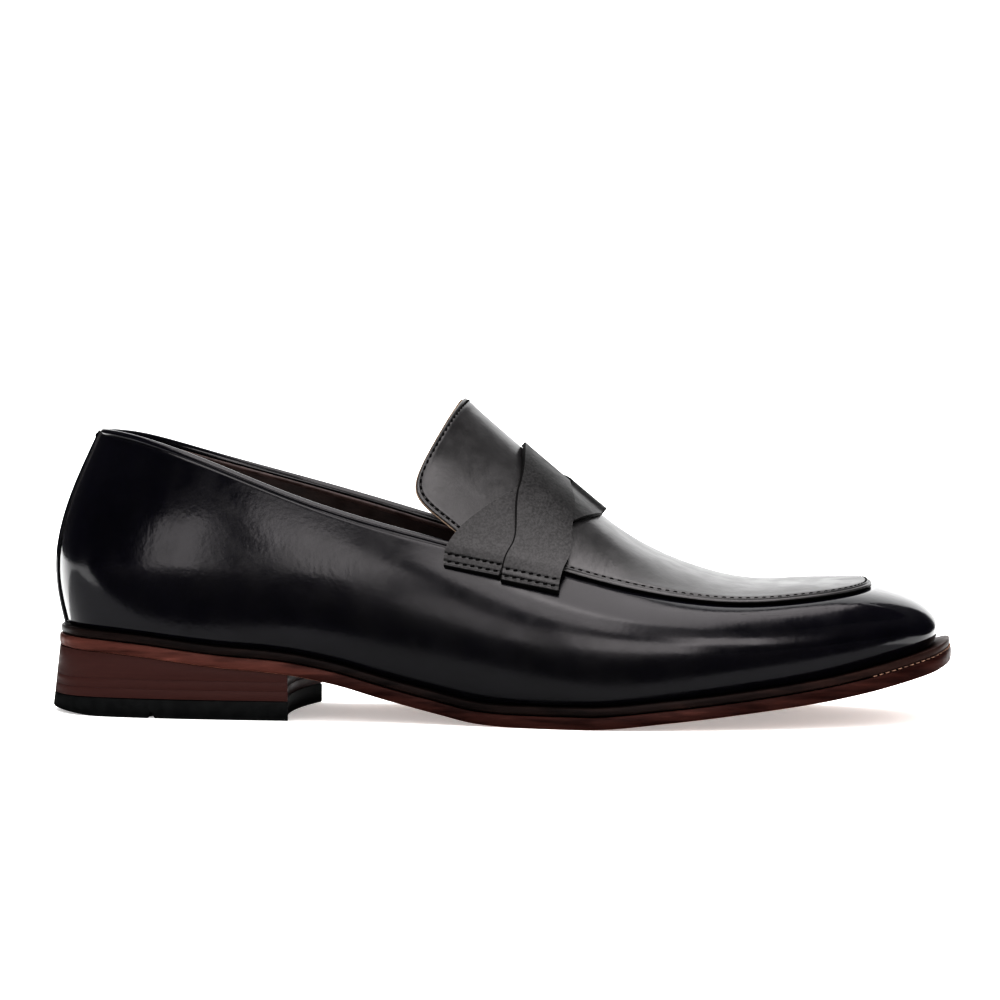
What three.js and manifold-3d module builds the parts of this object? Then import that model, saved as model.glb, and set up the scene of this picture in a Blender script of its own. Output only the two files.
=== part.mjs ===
// Men's slip-on dress shoe, right foot: an apron-front loafer with a raised tongue and a pair of crossed
// leather bands over the instep, on a leather sole with a stacked heel. Millimetres, +Z up, +X to the toe,
// -Y to the outer side of the foot. The origin is on the floor under the middle of the shoe's box.
import * as THREE from "three";
import { mergeVertices } from "three/addons/utils/BufferGeometryUtils.js";
import Module from "manifold-3d";

const wasm = await Module();
wasm.setup();

// ---------- driving dimensions ----------
const GAP = 0.3; // clearance between neighbouring layers
const UPPER = 1.3; // outer leather
const LINING = 0.9; // lining leather
const STIFFENER = 1.1; // heel counter and toe puff
const APRON = 1.3; // apron and tongue leather
const BAND = 1.2; // crossed bands
const BACKSTAY = 1.0; // strip over the back seam
const WELT = 2.7;
const TOP_LIFT = 6.4; // rubber heel tip
const HEEL_LIFT = 3.2; // one leather heel lift
const INSOLE = 2.2;
const SOCK = 1.0;
const HEEL_PAD = 2.2;
const LASTING_MARGIN = 12; // how far the upper turns in under the insole
const WELT_RING = 14; // welt's width in plan

// ---------- interpolation ----------
// From a to b as t goes from 0 to 1, with slopes m0 and m1 at the ends.
function hermite(a, b, m0, m1, t) {
  return ((2 * a - 2 * b + m0 + m1) * t + (3 * b - 3 * a - 2 * m0 - m1)) * t * t + m0 * t + a;
}

// Cubic through a at t = 0 and b at t = 1, where p and q are the values before and after them.
function cubic(p, a, b, q, t) {
  return hermite(a, b, (b - p) / 2, (q - a) / 2, t);
}

function cubicPoint(p, a, b, q, t) {
  return new THREE.Vector3(
    cubic(p.x, a.x, b.x, q.x, t),
    cubic(p.y, a.y, b.y, q.y, t),
    cubic(p.z, a.z, b.z, q.z, t),
  );
}

// A height that rises and falls only where its points do.
function heightProfile(points) {
  const slope = (i) => (points[i + 1][1] - points[i][1]) / (points[i + 1][0] - points[i][0]);
  const tangent = (i) => {
    if (i === 0 || i === points.length - 1) return 0;
    const [before, after] = [slope(i - 1), slope(i)];
    return before * after <= 0 ? 0 : (2 * before * after) / (before + after);
  };
  return (x) => {
    let i = 0;
    while (i < points.length - 2 && x > points[i + 1][0]) i++;
    const width = points[i + 1][0] - points[i][0];
    const t = THREE.MathUtils.clamp((x - points[i][0]) / width, 0, 1);
    return hermite(points[i][1], points[i + 1][1], tangent(i) * width, tangent(i + 1) * width, t);
  };
}

const bell = (x, centre, spread) => Math.exp(-(((x - centre) / spread) ** 2));

// 0 at from and 1 at to, whichever is the larger.
function smooth(x, from, to) {
  const sign = from < to ? 1 : -1;
  return THREE.MathUtils.smoothstep(sign * x, sign * from, sign * to);
}

// ---------- the shape of the last ----------
// Height of the welt's top face along the shoe: heel seat, waist, flat tread under the ball, toe spring.
const seatHeight = heightProfile([
  [-153, 29.7], [-135, 29.1], [-120, 28.0], [-92, 24.8], [-70, 23.0], [-52, 19.8], [-35, 15.2], [-17, 10.9],
  [-2, 7.9], [10, 7.2], [33, 7.2], [62, 9.7], [86, 12.5], [110, 16.1], [125, 19.2], [137, 22.4], [147, 25.4],
  [154, 27.8],
]);

// Rails run round the shoe through 24 stations: 0 is the back, 1 to 11 the outer side, 12 the toe, and
// 13 to 23 the inner side, which mirrors 11 to 1 apart from innerSide(). An entry is [x, half width, height].
const STATIONS = 24;
const TOE = 12;
const WELT_EDGE = [
  [-149.2, 0], [-144.6, 15], [-131.5, 25.8], [-100, 32], [-65, 34], [-30, 37], [5, 45], [40, 52], [76, 49],
  [108, 40.5], [134, 30.5], [148.6, 19], [151.8, 0],
];
const WELT_REACH = [2.2, 2.2, 2.3, 2.6, 3.0, 3.3, 3.8, 4.2, 4.4, 4.6, 4.8, 5.1, 5.2]; // outside the upper
const BULGE = [
  [-149.9, 0, 50], [-145.6, 16, 50], [-132.5, 26.6, 49], [-100, 32.6, 46], [-65, 35.2, 40], [-30, 38.2, 33],
  [5, 45.4, 27], [40, 50.6, 24.5], [75.5, 47.4, 24.5], [107, 38.6, 27], [132, 28.3, 29.6], [144.5, 17.2, 31.6],
  [147.6, 0, 32.4],
];
const SHOULDER = [
  [-145.1, 0, 72.5], [-141.2, 13.6, 72.5], [-129.2, 23.8, 71.5], [-99.5, 30.8, 67.5], [-64.5, 34.6, 58.5],
  [-29.5, 37.4, 50], [6, 42.6, 43.2], [41, 46.6, 37.6], [75.5, 43.8, 34.8], [104.5, 35.4, 35.8],
  [127, 25.9, 38.1], [137.1, 14.6, 39.5], [139.7, 0, 39.9],
];
const TOP_EDGE = [ // topline from the back to station 5, then the apron's seam
  [-134.4, 0, 96.2], [-132.3, 8.6, 96.0], [-121.5, 18.2, 94.6], [-96.5, 26.8, 87.2], [-63, 31.4, 74.7],
  [-28, 33.4, 64.5], [8, 35, 55.3], [42, 36.8, 46.2], [76, 35, 40.7], [101, 28.8, 41], [117, 21, 42.7],
  [124, 10.6, 43.8], [125.6, 0, 44.2],
];
// From station 4 forward the vamp and tongue close over the instep: edge, haunch and ridge of each arch.
const TONGUE_EDGE_4 = [-43.5, 33, 74.5];
const HAUNCH = [
  [-23.4, 24, 97.8], [-9.3, 23.5, 86.4], [19.7, 22, 70.2], [46.6, 21.6, 54.3], [77, 20.5, 44.2],
  [99, 16, 43.6], [111.5, 11.5, 44.1], [117, 5.5, 44.5], [118.6, 0, 44.6],
];
const RIDGE = [
  [-15.3, 108.2], [-1.5, 95.9], [23.2, 74.8], [47.8, 56.2], [77, 45.4], [97, 43.8], [107, 44.2],
  [111, 44.4], [112, 44.4],
];
const FIRST_ARCH = 4; // station of HAUNCH[0] and RIDGE[0]

// The inner side of the foot is hollow at the arch, less full at the outer ball and fuller at the big toe.
const innerSide = (x) => -6.5 * bell(x, -25, 34) - 2.5 * bell(x, 22, 26) + 1.8 * bell(x, 82, 30);
const innerRise = (x) => 2.4 * bell(x, -42, 32) - 2.4 * bell(x, -107, 24) + 1.3 * bell(x, 105, 26);

const stationSide = (k) => (k <= TOE ? -1 : 1);
const mirrored = (k) => (k <= TOE ? k : STATIONS - k);
const wrap = (k) => ((k % STATIONS) + STATIONS) % STATIONS;
const fromBack = (u) => mirrored(wrap(u)); // stations from the back along either side

function sidePoint(k, [x, halfWidth, z]) {
  const inner = stationSide(k) > 0 && halfWidth > 0 ? innerSide(x) * Math.min(1, halfWidth / 20) : 0;
  return new THREE.Vector3(x, stationSide(k) * (halfWidth + inner), z);
}

const weltPoint = (k) => sidePoint(k, [...WELT_EDGE[mirrored(k)], 0]);

// Point on the sole's centre line that a column of the plan grid runs to.
const centrePoint = (edge) => new THREE.Vector3(THREE.MathUtils.clamp(edge.x, -118, 114), 0, 0);

function towardsCentre(edge, distance) {
  const centre = centrePoint(edge);
  return edge.clone().addScaledVector(centre.sub(edge).normalize(), distance);
}

function featherPoint(k) {
  const p = towardsCentre(weltPoint(k), WELT_REACH[mirrored(k)]);
  p.z = seatHeight(p.x) + GAP;
  return p;
}

function riseInside(k, point, share) {
  if (stationSide(k) > 0) point.z += innerRise(point.x) * share;
  return point;
}

// The control net: six rails at each station, from the feather edge at 0 to the ridge at 5.
const RAILS = 6;
function controlNet(withTongue) {
  const net = [];
  for (let k = 0; k < STATIONS; k++) {
    const m = mirrored(k);
    const feather = featherPoint(k);
    const bulge = sidePoint(k, BULGE[m]);
    const shoulder = riseInside(k, sidePoint(k, SHOULDER[m]), 0.5);
    let edge = riseInside(k, sidePoint(k, TOP_EDGE[m]), 1);
    let haunch = edge.clone().multiplyScalar(2).sub(shoulder);
    let ridge = haunch.clone();
    if (m > FIRST_ARCH || (withTongue && m === FIRST_ARCH)) {
      if (m === FIRST_ARCH) edge = sidePoint(k, TONGUE_EDGE_4);
      haunch = riseInside(k, sidePoint(k, HAUNCH[m - FIRST_ARCH]), 0.4);
      const [x, z] = RIDGE[m - FIRST_ARCH];
      ridge = new THREE.Vector3(x, 0, z);
    }
    net.push([feather, bulge, shoulder, edge, haunch, ridge]);
  }
  if (withTongue) { // the arches behind the first one carry straight on
    for (const [behind, first, next] of [[3, 4, 5], [21, 20, 19]]) {
      for (let r = 3; r < RAILS; r++) {
        net[behind][r] = net[first][r].clone().multiplyScalar(2).sub(net[next][r]);
      }
    }
  }
  return net;
}
const SKIRT_NET = controlNet(false);
const VAMP_NET = controlNet(true);

function railPoint(net, rail, u) {
  const k = Math.floor(u);
  const at = (i) => net[wrap(i)][rail];
  return cubicPoint(at(k - 1), at(k), at(k + 1), at(k + 2), u - k);
}

// Outer face of the upper at station u and rail v.
function upperPoint(net, u, v) {
  const r = Math.min(Math.floor(v), RAILS - 2);
  const a = railPoint(net, r, u);
  const b = railPoint(net, r + 1, u);
  const before = r > 0 ? railPoint(net, r - 1, u) : a.clone().multiplyScalar(2).sub(b);
  const after = r + 2 < RAILS ? railPoint(net, r + 2, u) : railPoint(net, RAILS - 2, STATIONS - u);
  return cubicPoint(before, a, b, after, v - r);
}

function upperNormal(net, u, v) {
  const step = 0.02;
  if (v > RAILS - 1 - step) return ridgeNormal(net, u);
  const round = upperPoint(net, u + step, v).sub(upperPoint(net, u - step, v));
  const rise = upperPoint(net, u, v + step).sub(upperPoint(net, u, Math.max(v - step, 0)));
  return round.cross(rise).normalize();
}

// Both sides of the upper meet at the ridge, so its normal comes from the ridge's own slope.
function ridgeNormal(net, u) {
  const station = fromBack(u);
  const ahead = railPoint(net, RAILS - 1, Math.min(station + 0.3, TOE));
  const along = ahead.sub(railPoint(net, RAILS - 1, station - 0.3));
  return new THREE.Vector3(-along.z, 0, along.x).normalize();
}

const offsetPoint = (net, u, v, out) => upperPoint(net, u, v).addScaledVector(upperNormal(net, u, v), out);

// ---------- closed meshes ----------
// A solid between two faces that are grids of points. Each wall joins the faces along one border of the grid,
// and a border that folds onto itself, or shrinks to a point, needs none.
function sheet(outer, inner, walls) {
  const triangles = [];
  const quad = (a, b, c, d) => triangles.push([a, b, c], [a, c, d]);
  const [rows, columns] = [outer.length - 1, outer[0].length - 1];
  for (let i = 0; i < rows; i++) {
    for (let j = 0; j < columns; j++) {
      quad(outer[i][j], outer[i + 1][j], outer[i + 1][j + 1], outer[i][j + 1]);
      quad(inner[i][j], inner[i][j + 1], inner[i + 1][j + 1], inner[i + 1][j]);
    }
    if (walls.low) quad(outer[i][0], inner[i][0], inner[i + 1][0], outer[i + 1][0]);
    if (walls.high) quad(outer[i][columns], outer[i + 1][columns], inner[i + 1][columns], inner[i][columns]);
  }
  for (let j = 0; j < columns; j++) {
    if (walls.start) quad(outer[0][j], outer[0][j + 1], inner[0][j + 1], inner[0][j]);
    if (walls.end) quad(outer[rows][j], inner[rows][j], inner[rows][j + 1], outer[rows][j + 1]);
  }
  return closedGeometry(triangles);
}

function closedGeometry(triangles) {
  const near = (a, b) => a.distanceToSquared(b) < 1e-6;
  const kept = triangles.filter(([a, b, c]) => !near(a, b) && !near(b, c) && !near(c, a));
  const volume = kept.reduce((sum, [a, b, c]) => sum + a.dot(b.clone().cross(c)), 0);
  const corners = kept.flatMap(([a, b, c]) => (volume > 0 ? [a, b, c] : [a, c, b]));
  const geometry = new THREE.BufferGeometry().setFromPoints(corners);
  return mergeVertices(geometry, 1e-3);
}

// A prism of rings, each ring a closed polygon, with fans over both ends.
function ringSweep(rings) {
  const triangles = [];
  const count = rings[0].length;
  for (let i = 0; i < rings.length - 1; i++) {
    for (let j = 0; j < count; j++) {
      const k = (j + 1) % count;
      const [a, b] = [rings[i], rings[i + 1]];
      triangles.push([a[j], a[k], b[k]], [a[j], b[k], b[j]]);
    }
  }
  const last = rings[rings.length - 1];
  for (let j = 1; j < count - 1; j++) {
    triangles.push([rings[0][0], rings[0][j + 1], rings[0][j]], [last[0], last[j], last[j + 1]]);
  }
  return closedGeometry(triangles);
}

function solidOf(geometry) {
  return new wasm.Manifold(new wasm.Mesh({
    numProp: 3,
    vertProperties: geometry.attributes.position.array,
    triVerts: new Uint32Array(geometry.index.array),
  }));
}

function cutBy(geometry, cutters) {
  let solid = solidOf(geometry);
  for (const cutter of cutters) {
    const bare = cutter.clone();
    bare.deleteAttribute("normal");
    bare.deleteAttribute("uv");
    solid = solid.subtract(solidOf(mergeVertices(bare)));
  }
  const mesh = solid.getMesh();
  return new THREE.BufferGeometry()
    .setAttribute("position", new THREE.BufferAttribute(mesh.vertProperties, 3))
    .setIndex(new THREE.BufferAttribute(mesh.triVerts, 1));
}

// Values from one end to the other in equal steps.
function span(from, to, steps) {
  return Array.from({ length: steps + 1 }, (_, i) => from + ((to - from) * i) / steps);
}

// ---------- materials ----------
function material(color, roughness, metalness = 0) {
  return new THREE.MeshStandardMaterial({ color, roughness, metalness });
}
const BLACK_CALF = material(0x0c0b0d, 0.3);
const BROWN_LINING = material(0x3a211c, 0.65);
const SOLE_EDGE = material(0x5a2a20, 0.45);
const WELT_EDGE_DARK = material(0x2c1714, 0.45);
const RUBBER = material(0x15171a, 0.7);
const FIBRE_BOARD = material(0x8a6a4a, 0.9);
const CORK = material(0x9a6f45, 0.95);
const FOAM = material(0xc9b9a0, 0.95);
const STEEL = material(0x9a9da1, 0.35, 1);

const shoe = new THREE.Group();
function add(name, geometry, look) {
  const mesh = new THREE.Mesh(geometry, look);
  mesh.name = name;
  shoe.add(mesh);
}

// ---------- sole ----------
const STEPS = 2; // columns per station, shared by every layer so that their facets stay parallel
const AROUND = span(0, STATIONS, STATIONS * STEPS);

// The shared columns between two stations, with the stations themselves.
function columns(from, to) {
  const first = Math.floor(from * STEPS) + 1;
  const last = Math.ceil(to * STEPS) - 1;
  return [from, ...span(first / STEPS, last / STEPS, last - first), to];
}

function weltEdge(u) {
  const k = Math.floor(u);
  const at = (i) => weltPoint(wrap(i));
  return cubicPoint(at(k - 1), at(k), at(k + 1), at(k + 2), u - k);
}

function planPoint(u, inset, lift) {
  const p = towardsCentre(weltEdge(u), inset);
  p.z = seatHeight(p.x) + lift;
  return p;
}

// Points from an inset edge to the centre line, at a height over the welt's top face.
function planColumn(u, inset, liftAt, shares) {
  const edge = planPoint(u, inset, 0);
  const centre = centrePoint(weltEdge(u));
  return shares.map((share) => {
    const p = edge.clone().lerp(centre, share);
    p.z = seatHeight(p.x) + liftAt(p.x);
    return p;
  });
}

function plate(us, insetAt, topAt, bottomAt, shares = [0, 0.4, 1]) {
  const open = us[us.length - 1] - us[0] < STATIONS;
  const face = (liftAt) => us.map((u) => planColumn(u, insetAt(u), liftAt, shares));
  return sheet(face(topAt), face(bottomAt), { low: true, start: open, end: open });
}

const reachAt = (u) => {
  const k = Math.floor(u);
  const at = (i) => WELT_REACH[mirrored(wrap(i))];
  return cubic(at(k - 1), at(k), at(k + 1), at(k + 2), u - k);
};
const OUTSOLE_TOP = -WELT - GAP;
const OUTSOLE_BOTTOM = -7.2; // the tread under the ball then lies on the floor
const outsoleBottom = (x) => OUTSOLE_BOTTOM - 0.9 * smooth(x, 80, 150); // a little thicker at the toe
const OUTSOLE_PROUD = 0.7; // how far its edge stands outside the welt's
const FLANGE = UPPER - 0.1; // upper leather pared where it is lasted
const LINING_FLANGE = LINING - 0.1;
const FLANGE_LIFT = GAP + 0.1;
const LINING_FLANGE_LIFT = FLANGE_LIFT + FLANGE + GAP;
const INSOLE_BOTTOM = LINING_FLANGE_LIFT + LINING_FLANGE + GAP;
const INSOLE_TOP = INSOLE_BOTTOM + INSOLE;
const WALL_LAYERS = 4.6; // upper, counter and lining, with their gaps

// Heel nails: driven from the insole into the lowest lift.
const NAIL_R = 1.0;
const NAIL_HEAD_R = 2.2;
const NAIL_HEAD = 1.0;
const NAIL_POINT = 2; // length of the taper
const NAIL_POINT_Z = TOP_LIFT + 2.4;
const NAIL_CLEARANCE = 0.15;
const HOLES_TOP = 60; // above everything that is drilled
const NAIL_PLACES = [[-128, 0], [-113, -10], [-113, 10], [-90, -10], [-90, 10]];

function upright(radius, z0, z1, x, y, sides = 10) {
  return new THREE.CylinderGeometry(radius, radius, z1 - z0, sides).rotateX(Math.PI / 2)
    .translate(x, y, (z0 + z1) / 2);
}

const nailHeadTop = (x) => seatHeight(x) + INSOLE_TOP - GAP;
const nailHoles = NAIL_PLACES.map(([x, y]) => upright(
  NAIL_R + NAIL_CLEARANCE, NAIL_POINT_Z - GAP, HOLES_TOP, x, y));
const headSeats = NAIL_PLACES.map(([x, y]) => upright(
  NAIL_HEAD_R + NAIL_CLEARANCE, nailHeadTop(x) - NAIL_HEAD - NAIL_CLEARANCE, HOLES_TOP, x, y));

add("outsole", cutBy(
  plate(AROUND, () => -OUTSOLE_PROUD, () => OUTSOLE_TOP, outsoleBottom), nailHoles,
), SOLE_EDGE);
add("welt", sheet(
  AROUND.map((u) => [planPoint(u, 0, 0), planPoint(u, WELT_RING, 0)]),
  AROUND.map((u) => [planPoint(u, 0, -WELT), planPoint(u, WELT_RING, -WELT)]),
  { low: true, high: true },
), WELT_EDGE_DARK);
add("insole_board", cutBy(plate(
  AROUND, (u) => reachAt(u) + WALL_LAYERS, () => INSOLE_TOP, () => INSOLE_BOTTOM,
), [...nailHoles, ...headSeats]), FIBRE_BOARD);

const padLift = (x) => (HEEL_PAD + GAP) * smooth(x, -48, -68);
add("sock_liner", plate(
  AROUND, (u) => reachAt(u) + WALL_LAYERS, (x) => INSOLE_TOP + GAP + padLift(x) + SOCK,
  (x) => INSOLE_TOP + GAP + padLift(x),
), BROWN_LINING);
const PAD_END = 3.5; // its last station
const PAD_MARGIN = 2; // it ends this far inside the sock liner's edge
add("heel_pad", plate(
  columns(-PAD_END, PAD_END), (u) => reachAt(wrap(u)) + WALL_LAYERS + PAD_MARGIN,
  () => INSOLE_TOP + GAP + HEEL_PAD, () => INSOLE_TOP + GAP,
), FOAM);
const CORK_MARGIN = 4.8; // inside the welt's ring
const CORK_CLEARANCE = 0.5;
add("cork_filler", plate(
  columns(6, STATIONS - 6), () => WELT_RING + CORK_MARGIN,
  () => INSOLE_BOTTOM - CORK_CLEARANCE, () => OUTSOLE_TOP + CORK_CLEARANCE,
), CORK);

// A spring-steel strip that stiffens the waist, from the heel seat to the ball.
const SHANK = { from: -84, to: -4, halfWidth: 6, thickness: 1.2, lift: 0.4 };
const shankFace = (lift) => span(SHANK.from, SHANK.to, 12).map((x) => [-1, 1].map((side) => (
  new THREE.Vector3(x, side * SHANK.halfWidth, seatHeight(x) + lift))));
add("shank", sheet(
  shankFace(SHANK.lift + SHANK.thickness), shankFace(SHANK.lift),
  { low: true, high: true, start: true, end: true },
), STEEL);

// ---------- heel ----------
// The heel tapers a little to the floor at its sides and leans back behind.
const HEEL_TOP = 22;
const HEEL_TAPER = 0.045; // share of its width
const HEEL_LEAN = 2.6;
const HEEL_PROUD = 0.6; // it stands behind the welt's edge
const HEEL_FRONT = 3.943; // the rail station at the breast
const BREAST_X = -67;
const BREAST_HOLLOW = 4; // depth of the breast's curve
const BREAST_SLANT = 2.5; // the breast lies this much further forward on the inner side
function heelEdge(u, z) {
  const top = weltEdge(wrap(u));
  const drop = 1 - z / HEEL_TOP;
  const back = bell(top.x, -152, 20) * (HEEL_PROUD + HEEL_LEAN * drop);
  return new THREE.Vector3(top.x - back, top.y * (1 - HEEL_TAPER * drop), z);
}
const TO_BREAST = BREAST_X - heelEdge(HEEL_FRONT, 0).x;

// One layer of the heel between two heights, each a function of x.
function heelLayer(bottomAt, topAt) {
  const us = span(0, HEEL_FRONT, 14);
  const face = (heightAt) => us.map((u) => span(-1, 1, 6).map((t) => {
    const outer = heelEdge(u, heightAt(weltEdge(u).x));
    const inner = heelEdge(-u, heightAt(weltEdge(u).x));
    const toInner = (t + 1) / 2;
    const p = outer.clone().lerp(inner, toInner);
    const nearBreast = (u / HEEL_FRONT) ** 3;
    p.x += nearBreast * (TO_BREAST - BREAST_HOLLOW * (1 - t * t) + BREAST_SLANT * toInner);
    p.z = heightAt(p.x);
    return p;
  }));
  return sheet(face(topAt), face(bottomAt), { low: true, high: true, end: true });
}

const SEAM = 0.15; // glue line between heel layers
const level = (z) => () => z;
const wedgeTop = (x) => seatHeight(x) + OUTSOLE_BOTTOM - GAP - 0.05;
const liftBottom = [0, 1].map((i) => TOP_LIFT + SEAM + i * (HEEL_LIFT + SEAM));
const tipBevel = (x) => 1.7 * smooth(x, -132, -154);
const TIP_GROOVE = { x: -113.5, width: 1.2, depth: 2 }; // a groove across the tread that shows at both sides
const grooveCutter = new THREE.BoxGeometry(TIP_GROOVE.width, 120, TIP_GROOVE.depth * 2)
  .translate(TIP_GROOVE.x, 0, 0);
add("top_lift", cutBy(heelLayer(tipBevel, level(TOP_LIFT)), [grooveCutter]), RUBBER);
liftBottom.forEach((z, i) => {
  add(`heel_lift_${i + 1}`, cutBy(heelLayer(level(z), level(z + HEEL_LIFT)), nailHoles), SOLE_EDGE);
});
add("heel_seat_wedge", cutBy(
  heelLayer(level(liftBottom[1] + HEEL_LIFT + SEAM), wedgeTop), nailHoles,
), SOLE_EDGE);

NAIL_PLACES.forEach(([x, y], i) => {
  const headTop = nailHeadTop(x);
  const profile = [
    [0, NAIL_POINT_Z], [NAIL_R, NAIL_POINT_Z + NAIL_POINT], [NAIL_R, headTop - NAIL_HEAD],
    [NAIL_HEAD_R, headTop - NAIL_HEAD], [NAIL_HEAD_R, headTop], [0, headTop],
  ].map(([r, z]) => new THREE.Vector2(r, z));
  const nail = new THREE.LatheGeometry(profile, 8).rotateX(Math.PI / 2).translate(x, y, 0);
  add(`heel_nail_${i + 1}`, nail, STEEL);
});

// ---------- upper ----------
const FREE_EDGE = 5.75; // station where the tongue's free edge leaves the seam
const OVERLAP = 0.35; // how far the skirt runs under the apron, in rails
const BINDING_RISE = 1.0; // half height of the rolled edge of the topline
const BINDING_HALF_WIDTH = 1.6;
const railLength = (u) => upperPoint(SKIRT_NET, u, 3).distanceTo(upperPoint(SKIRT_NET, u, 2.5)) * 2;
// 1 where the rolled edge covers the skirt's.
const bound = (u) => smooth(fromBack(u), FREE_EDGE + 0.25, FREE_EDGE - 0.08);

// Rows of the upper's wall at station u, shared by all its layers, up to the binding or under the apron.
function wallRows(u) {
  const trim = (2 * BINDING_RISE) / railLength(u);
  const b = bound(u);
  const top = THREE.MathUtils.lerp(3, 3 - 1.5 * trim, b);
  const end = THREE.MathUtils.lerp(3 + OVERLAP, 3 - trim, b);
  return [0.12, 0.5, 1, 1.5, 2, 2.5, top, end];
}

// A layer lasted under the insole: a flat flange and then the wall.
function lastedLayer(us, rowsAt, outAt, thickness, flange) {
  const face = (isOuter) => us.map((u) => {
    const reach = reachAt(wrap(u));
    const lift = flange.lift + (isOuter ? 0 : flange.thickness);
    const depth = flange.start + (isOuter ? 0 : thickness * 0.8);
    return [
      planPoint(wrap(u), reach + LASTING_MARGIN, lift),
      planPoint(wrap(u), reach + depth, lift),
      ...rowsAt(u).map((v) => offsetPoint(SKIRT_NET, wrap(u), v, outAt(u, v) - (isOuter ? 0 : thickness))),
    ];
  });
  return sheet(face(true), face(false), { low: true, high: true, start: true, end: true });
}

const SEAM_SLIT = 0.01; // half of the back seam, in stations
const skirtFlange = { lift: FLANGE_LIFT, thickness: FLANGE, start: 0.6 };
add("skirt", lastedLayer(
  columns(SEAM_SLIT, STATIONS - SEAM_SLIT), wallRows, () => 0, UPPER, skirtFlange,
), BLACK_CALF);

// Stiffeners sit between the skirt and the linings.
const UNDER_UPPER = -UPPER - GAP;
const UNDER_STIFFENER = -UPPER - STIFFENER - 2 * GAP;
const STIFFENER_ROWS = [0.3, 0.5, 1, 1.5, 2];
function stiffener(us) {
  const face = (out) => us.map((u) => STIFFENER_ROWS.map((v) => offsetPoint(SKIRT_NET, wrap(u), v, out)));
  const walls = { low: true, high: true, start: true, end: true };
  return sheet(face(UNDER_UPPER), face(UNDER_UPPER - STIFFENER), walls);
}
const COUNTER_END = 3.6;
const PUFF_END = 2.4;
add("heel_counter", stiffener(columns(-COUNTER_END, COUNTER_END)), FIBRE_BOARD);
add("toe_puff", stiffener(columns(TOE - PUFF_END, TOE + PUFF_END)), FIBRE_BOARD);

// The linings step in behind a stiffener and out again past it.
function liningOut(u, v) {
  const station = fromBack(u);
  const atCounter = smooth(station, COUNTER_END + 0.7, COUNTER_END);
  const atPuff = smooth(station, TOE - PUFF_END - 0.7, TOE - PUFF_END);
  const stiff = Math.max(atCounter, atPuff);
  return THREE.MathUtils.lerp(UNDER_UPPER, UNDER_STIFFENER, stiff * smooth(v, 3, 2));
}
const LINING_SEAM = 6; // where the quarter lining meets the vamp lining
const liningFlange = { lift: LINING_FLANGE_LIFT, thickness: LINING_FLANGE, start: 3.4 };
add("quarter_lining", lastedLayer(
  columns(-LINING_SEAM, LINING_SEAM), wallRows, liningOut, LINING, liningFlange,
), BROWN_LINING);

// The vamp lining closes over the toes as far as the ridge, rising to the apron past the skirt's overlap.
function vampLining() {
  const from = LINING_SEAM + 0.02;
  const us = columns(from, STATIONS - from);
  const rows = [0.12, 0.5, 1, 1.5, 2, 2.5, 3, 3 + OVERLAP, 4, 4.5, 5];
  const outAt = (u, v) => (v <= 3 + OVERLAP ? liningOut(u, v) : -GAP);
  const face = (isOuter) => us.map((u) => {
    const lift = liningFlange.lift + (isOuter ? 0 : liningFlange.thickness);
    const depth = liningFlange.start + (isOuter ? 0 : LINING * 0.8);
    return [
      planPoint(u, reachAt(u) + LASTING_MARGIN, lift),
      planPoint(u, reachAt(u) + depth, lift),
      ...rows.map((v) => offsetPoint(VAMP_NET, u, v, outAt(u, v) - (isOuter ? 0 : LINING))),
    ];
  });
  return sheet(face(true), face(false), { low: true, start: true, end: true });
}
add("vamp_lining", vampLining(), BROWN_LINING);

// ---------- apron and tongue ----------
// The tongue's free edge as [station, rail], from the seam to the middle of its top.
const TONGUE_OUTLINE = [
  [6.1, 3], [5.75, 3], [5.35, 3.24], [4.88, 3.42], [4.6, 3.64], [4.42, 4], [4.3, 4.42], [4.24, 4.78], [4.22, 5],
  [4.24, 5.22],
];
const TONGUE_TURNS = TONGUE_OUTLINE.length - 3;
function tongueEdge(q) { // q from 0 at the seam to TONGUE_TURNS at the top's middle
  const k = Math.min(Math.floor(q), TONGUE_TURNS - 1);
  const at = (i, axis) => TONGUE_OUTLINE[k + i][axis];
  return [0, 1].map((axis) => cubic(at(0, axis), at(1, axis), at(2, axis), at(3, axis), q - k));
}

// The apron and tongue in one: columns from its edge to the ridge, from the toe round to the tongue's top.
function apronLayer(edges, top, bottom, shares) {
  const halfColumn = ([u, v], out, side) => shares.map((share) => {
    const station = side < 0 ? u : STATIONS - u;
    const rail = v + (RAILS - 1 - v) * share;
    return offsetPoint(VAMP_NET, station, rail, out);
  });
  const face = (out) => edges.map((edge) => {
    const outer = halfColumn(edge, out, -1);
    const inner = halfColumn(edge, out, 1);
    return [...outer, ...inner.reverse().slice(1)];
  });
  return [face(top), face(bottom)];
}
const APRON_OUT = GAP + APRON;
const freeEdges = [TONGUE_TURNS, 6.5, ...span(6, 0, 10)].map(tongueEdge);
const seamEdges = span(6, TOE, (TOE - 6) * STEPS).map((u) => [u, 3]);
const apronShares = [0, OVERLAP / 2, 0.5, 0.75, 1];
add("apron_tongue", sheet(
  ...apronLayer([...freeEdges, ...seamEdges], APRON_OUT, GAP, apronShares), { low: true, high: true },
), BLACK_CALF);

// The tongue's own lining, a little inside its edge, starts behind the vamp lining.
const UNDER_TONGUE = -0.9;
const tongueLiningEdges = [...freeEdges.slice(0, -1), [5.75, 3.5], [LINING_SEAM - 0.02, 3.5]];
add("tongue_lining", sheet(
  ...apronLayer(tongueLiningEdges, UNDER_TONGUE, UNDER_TONGUE - LINING, apronShares),
  { low: true, high: true, end: true },
), BROWN_LINING);

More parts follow.
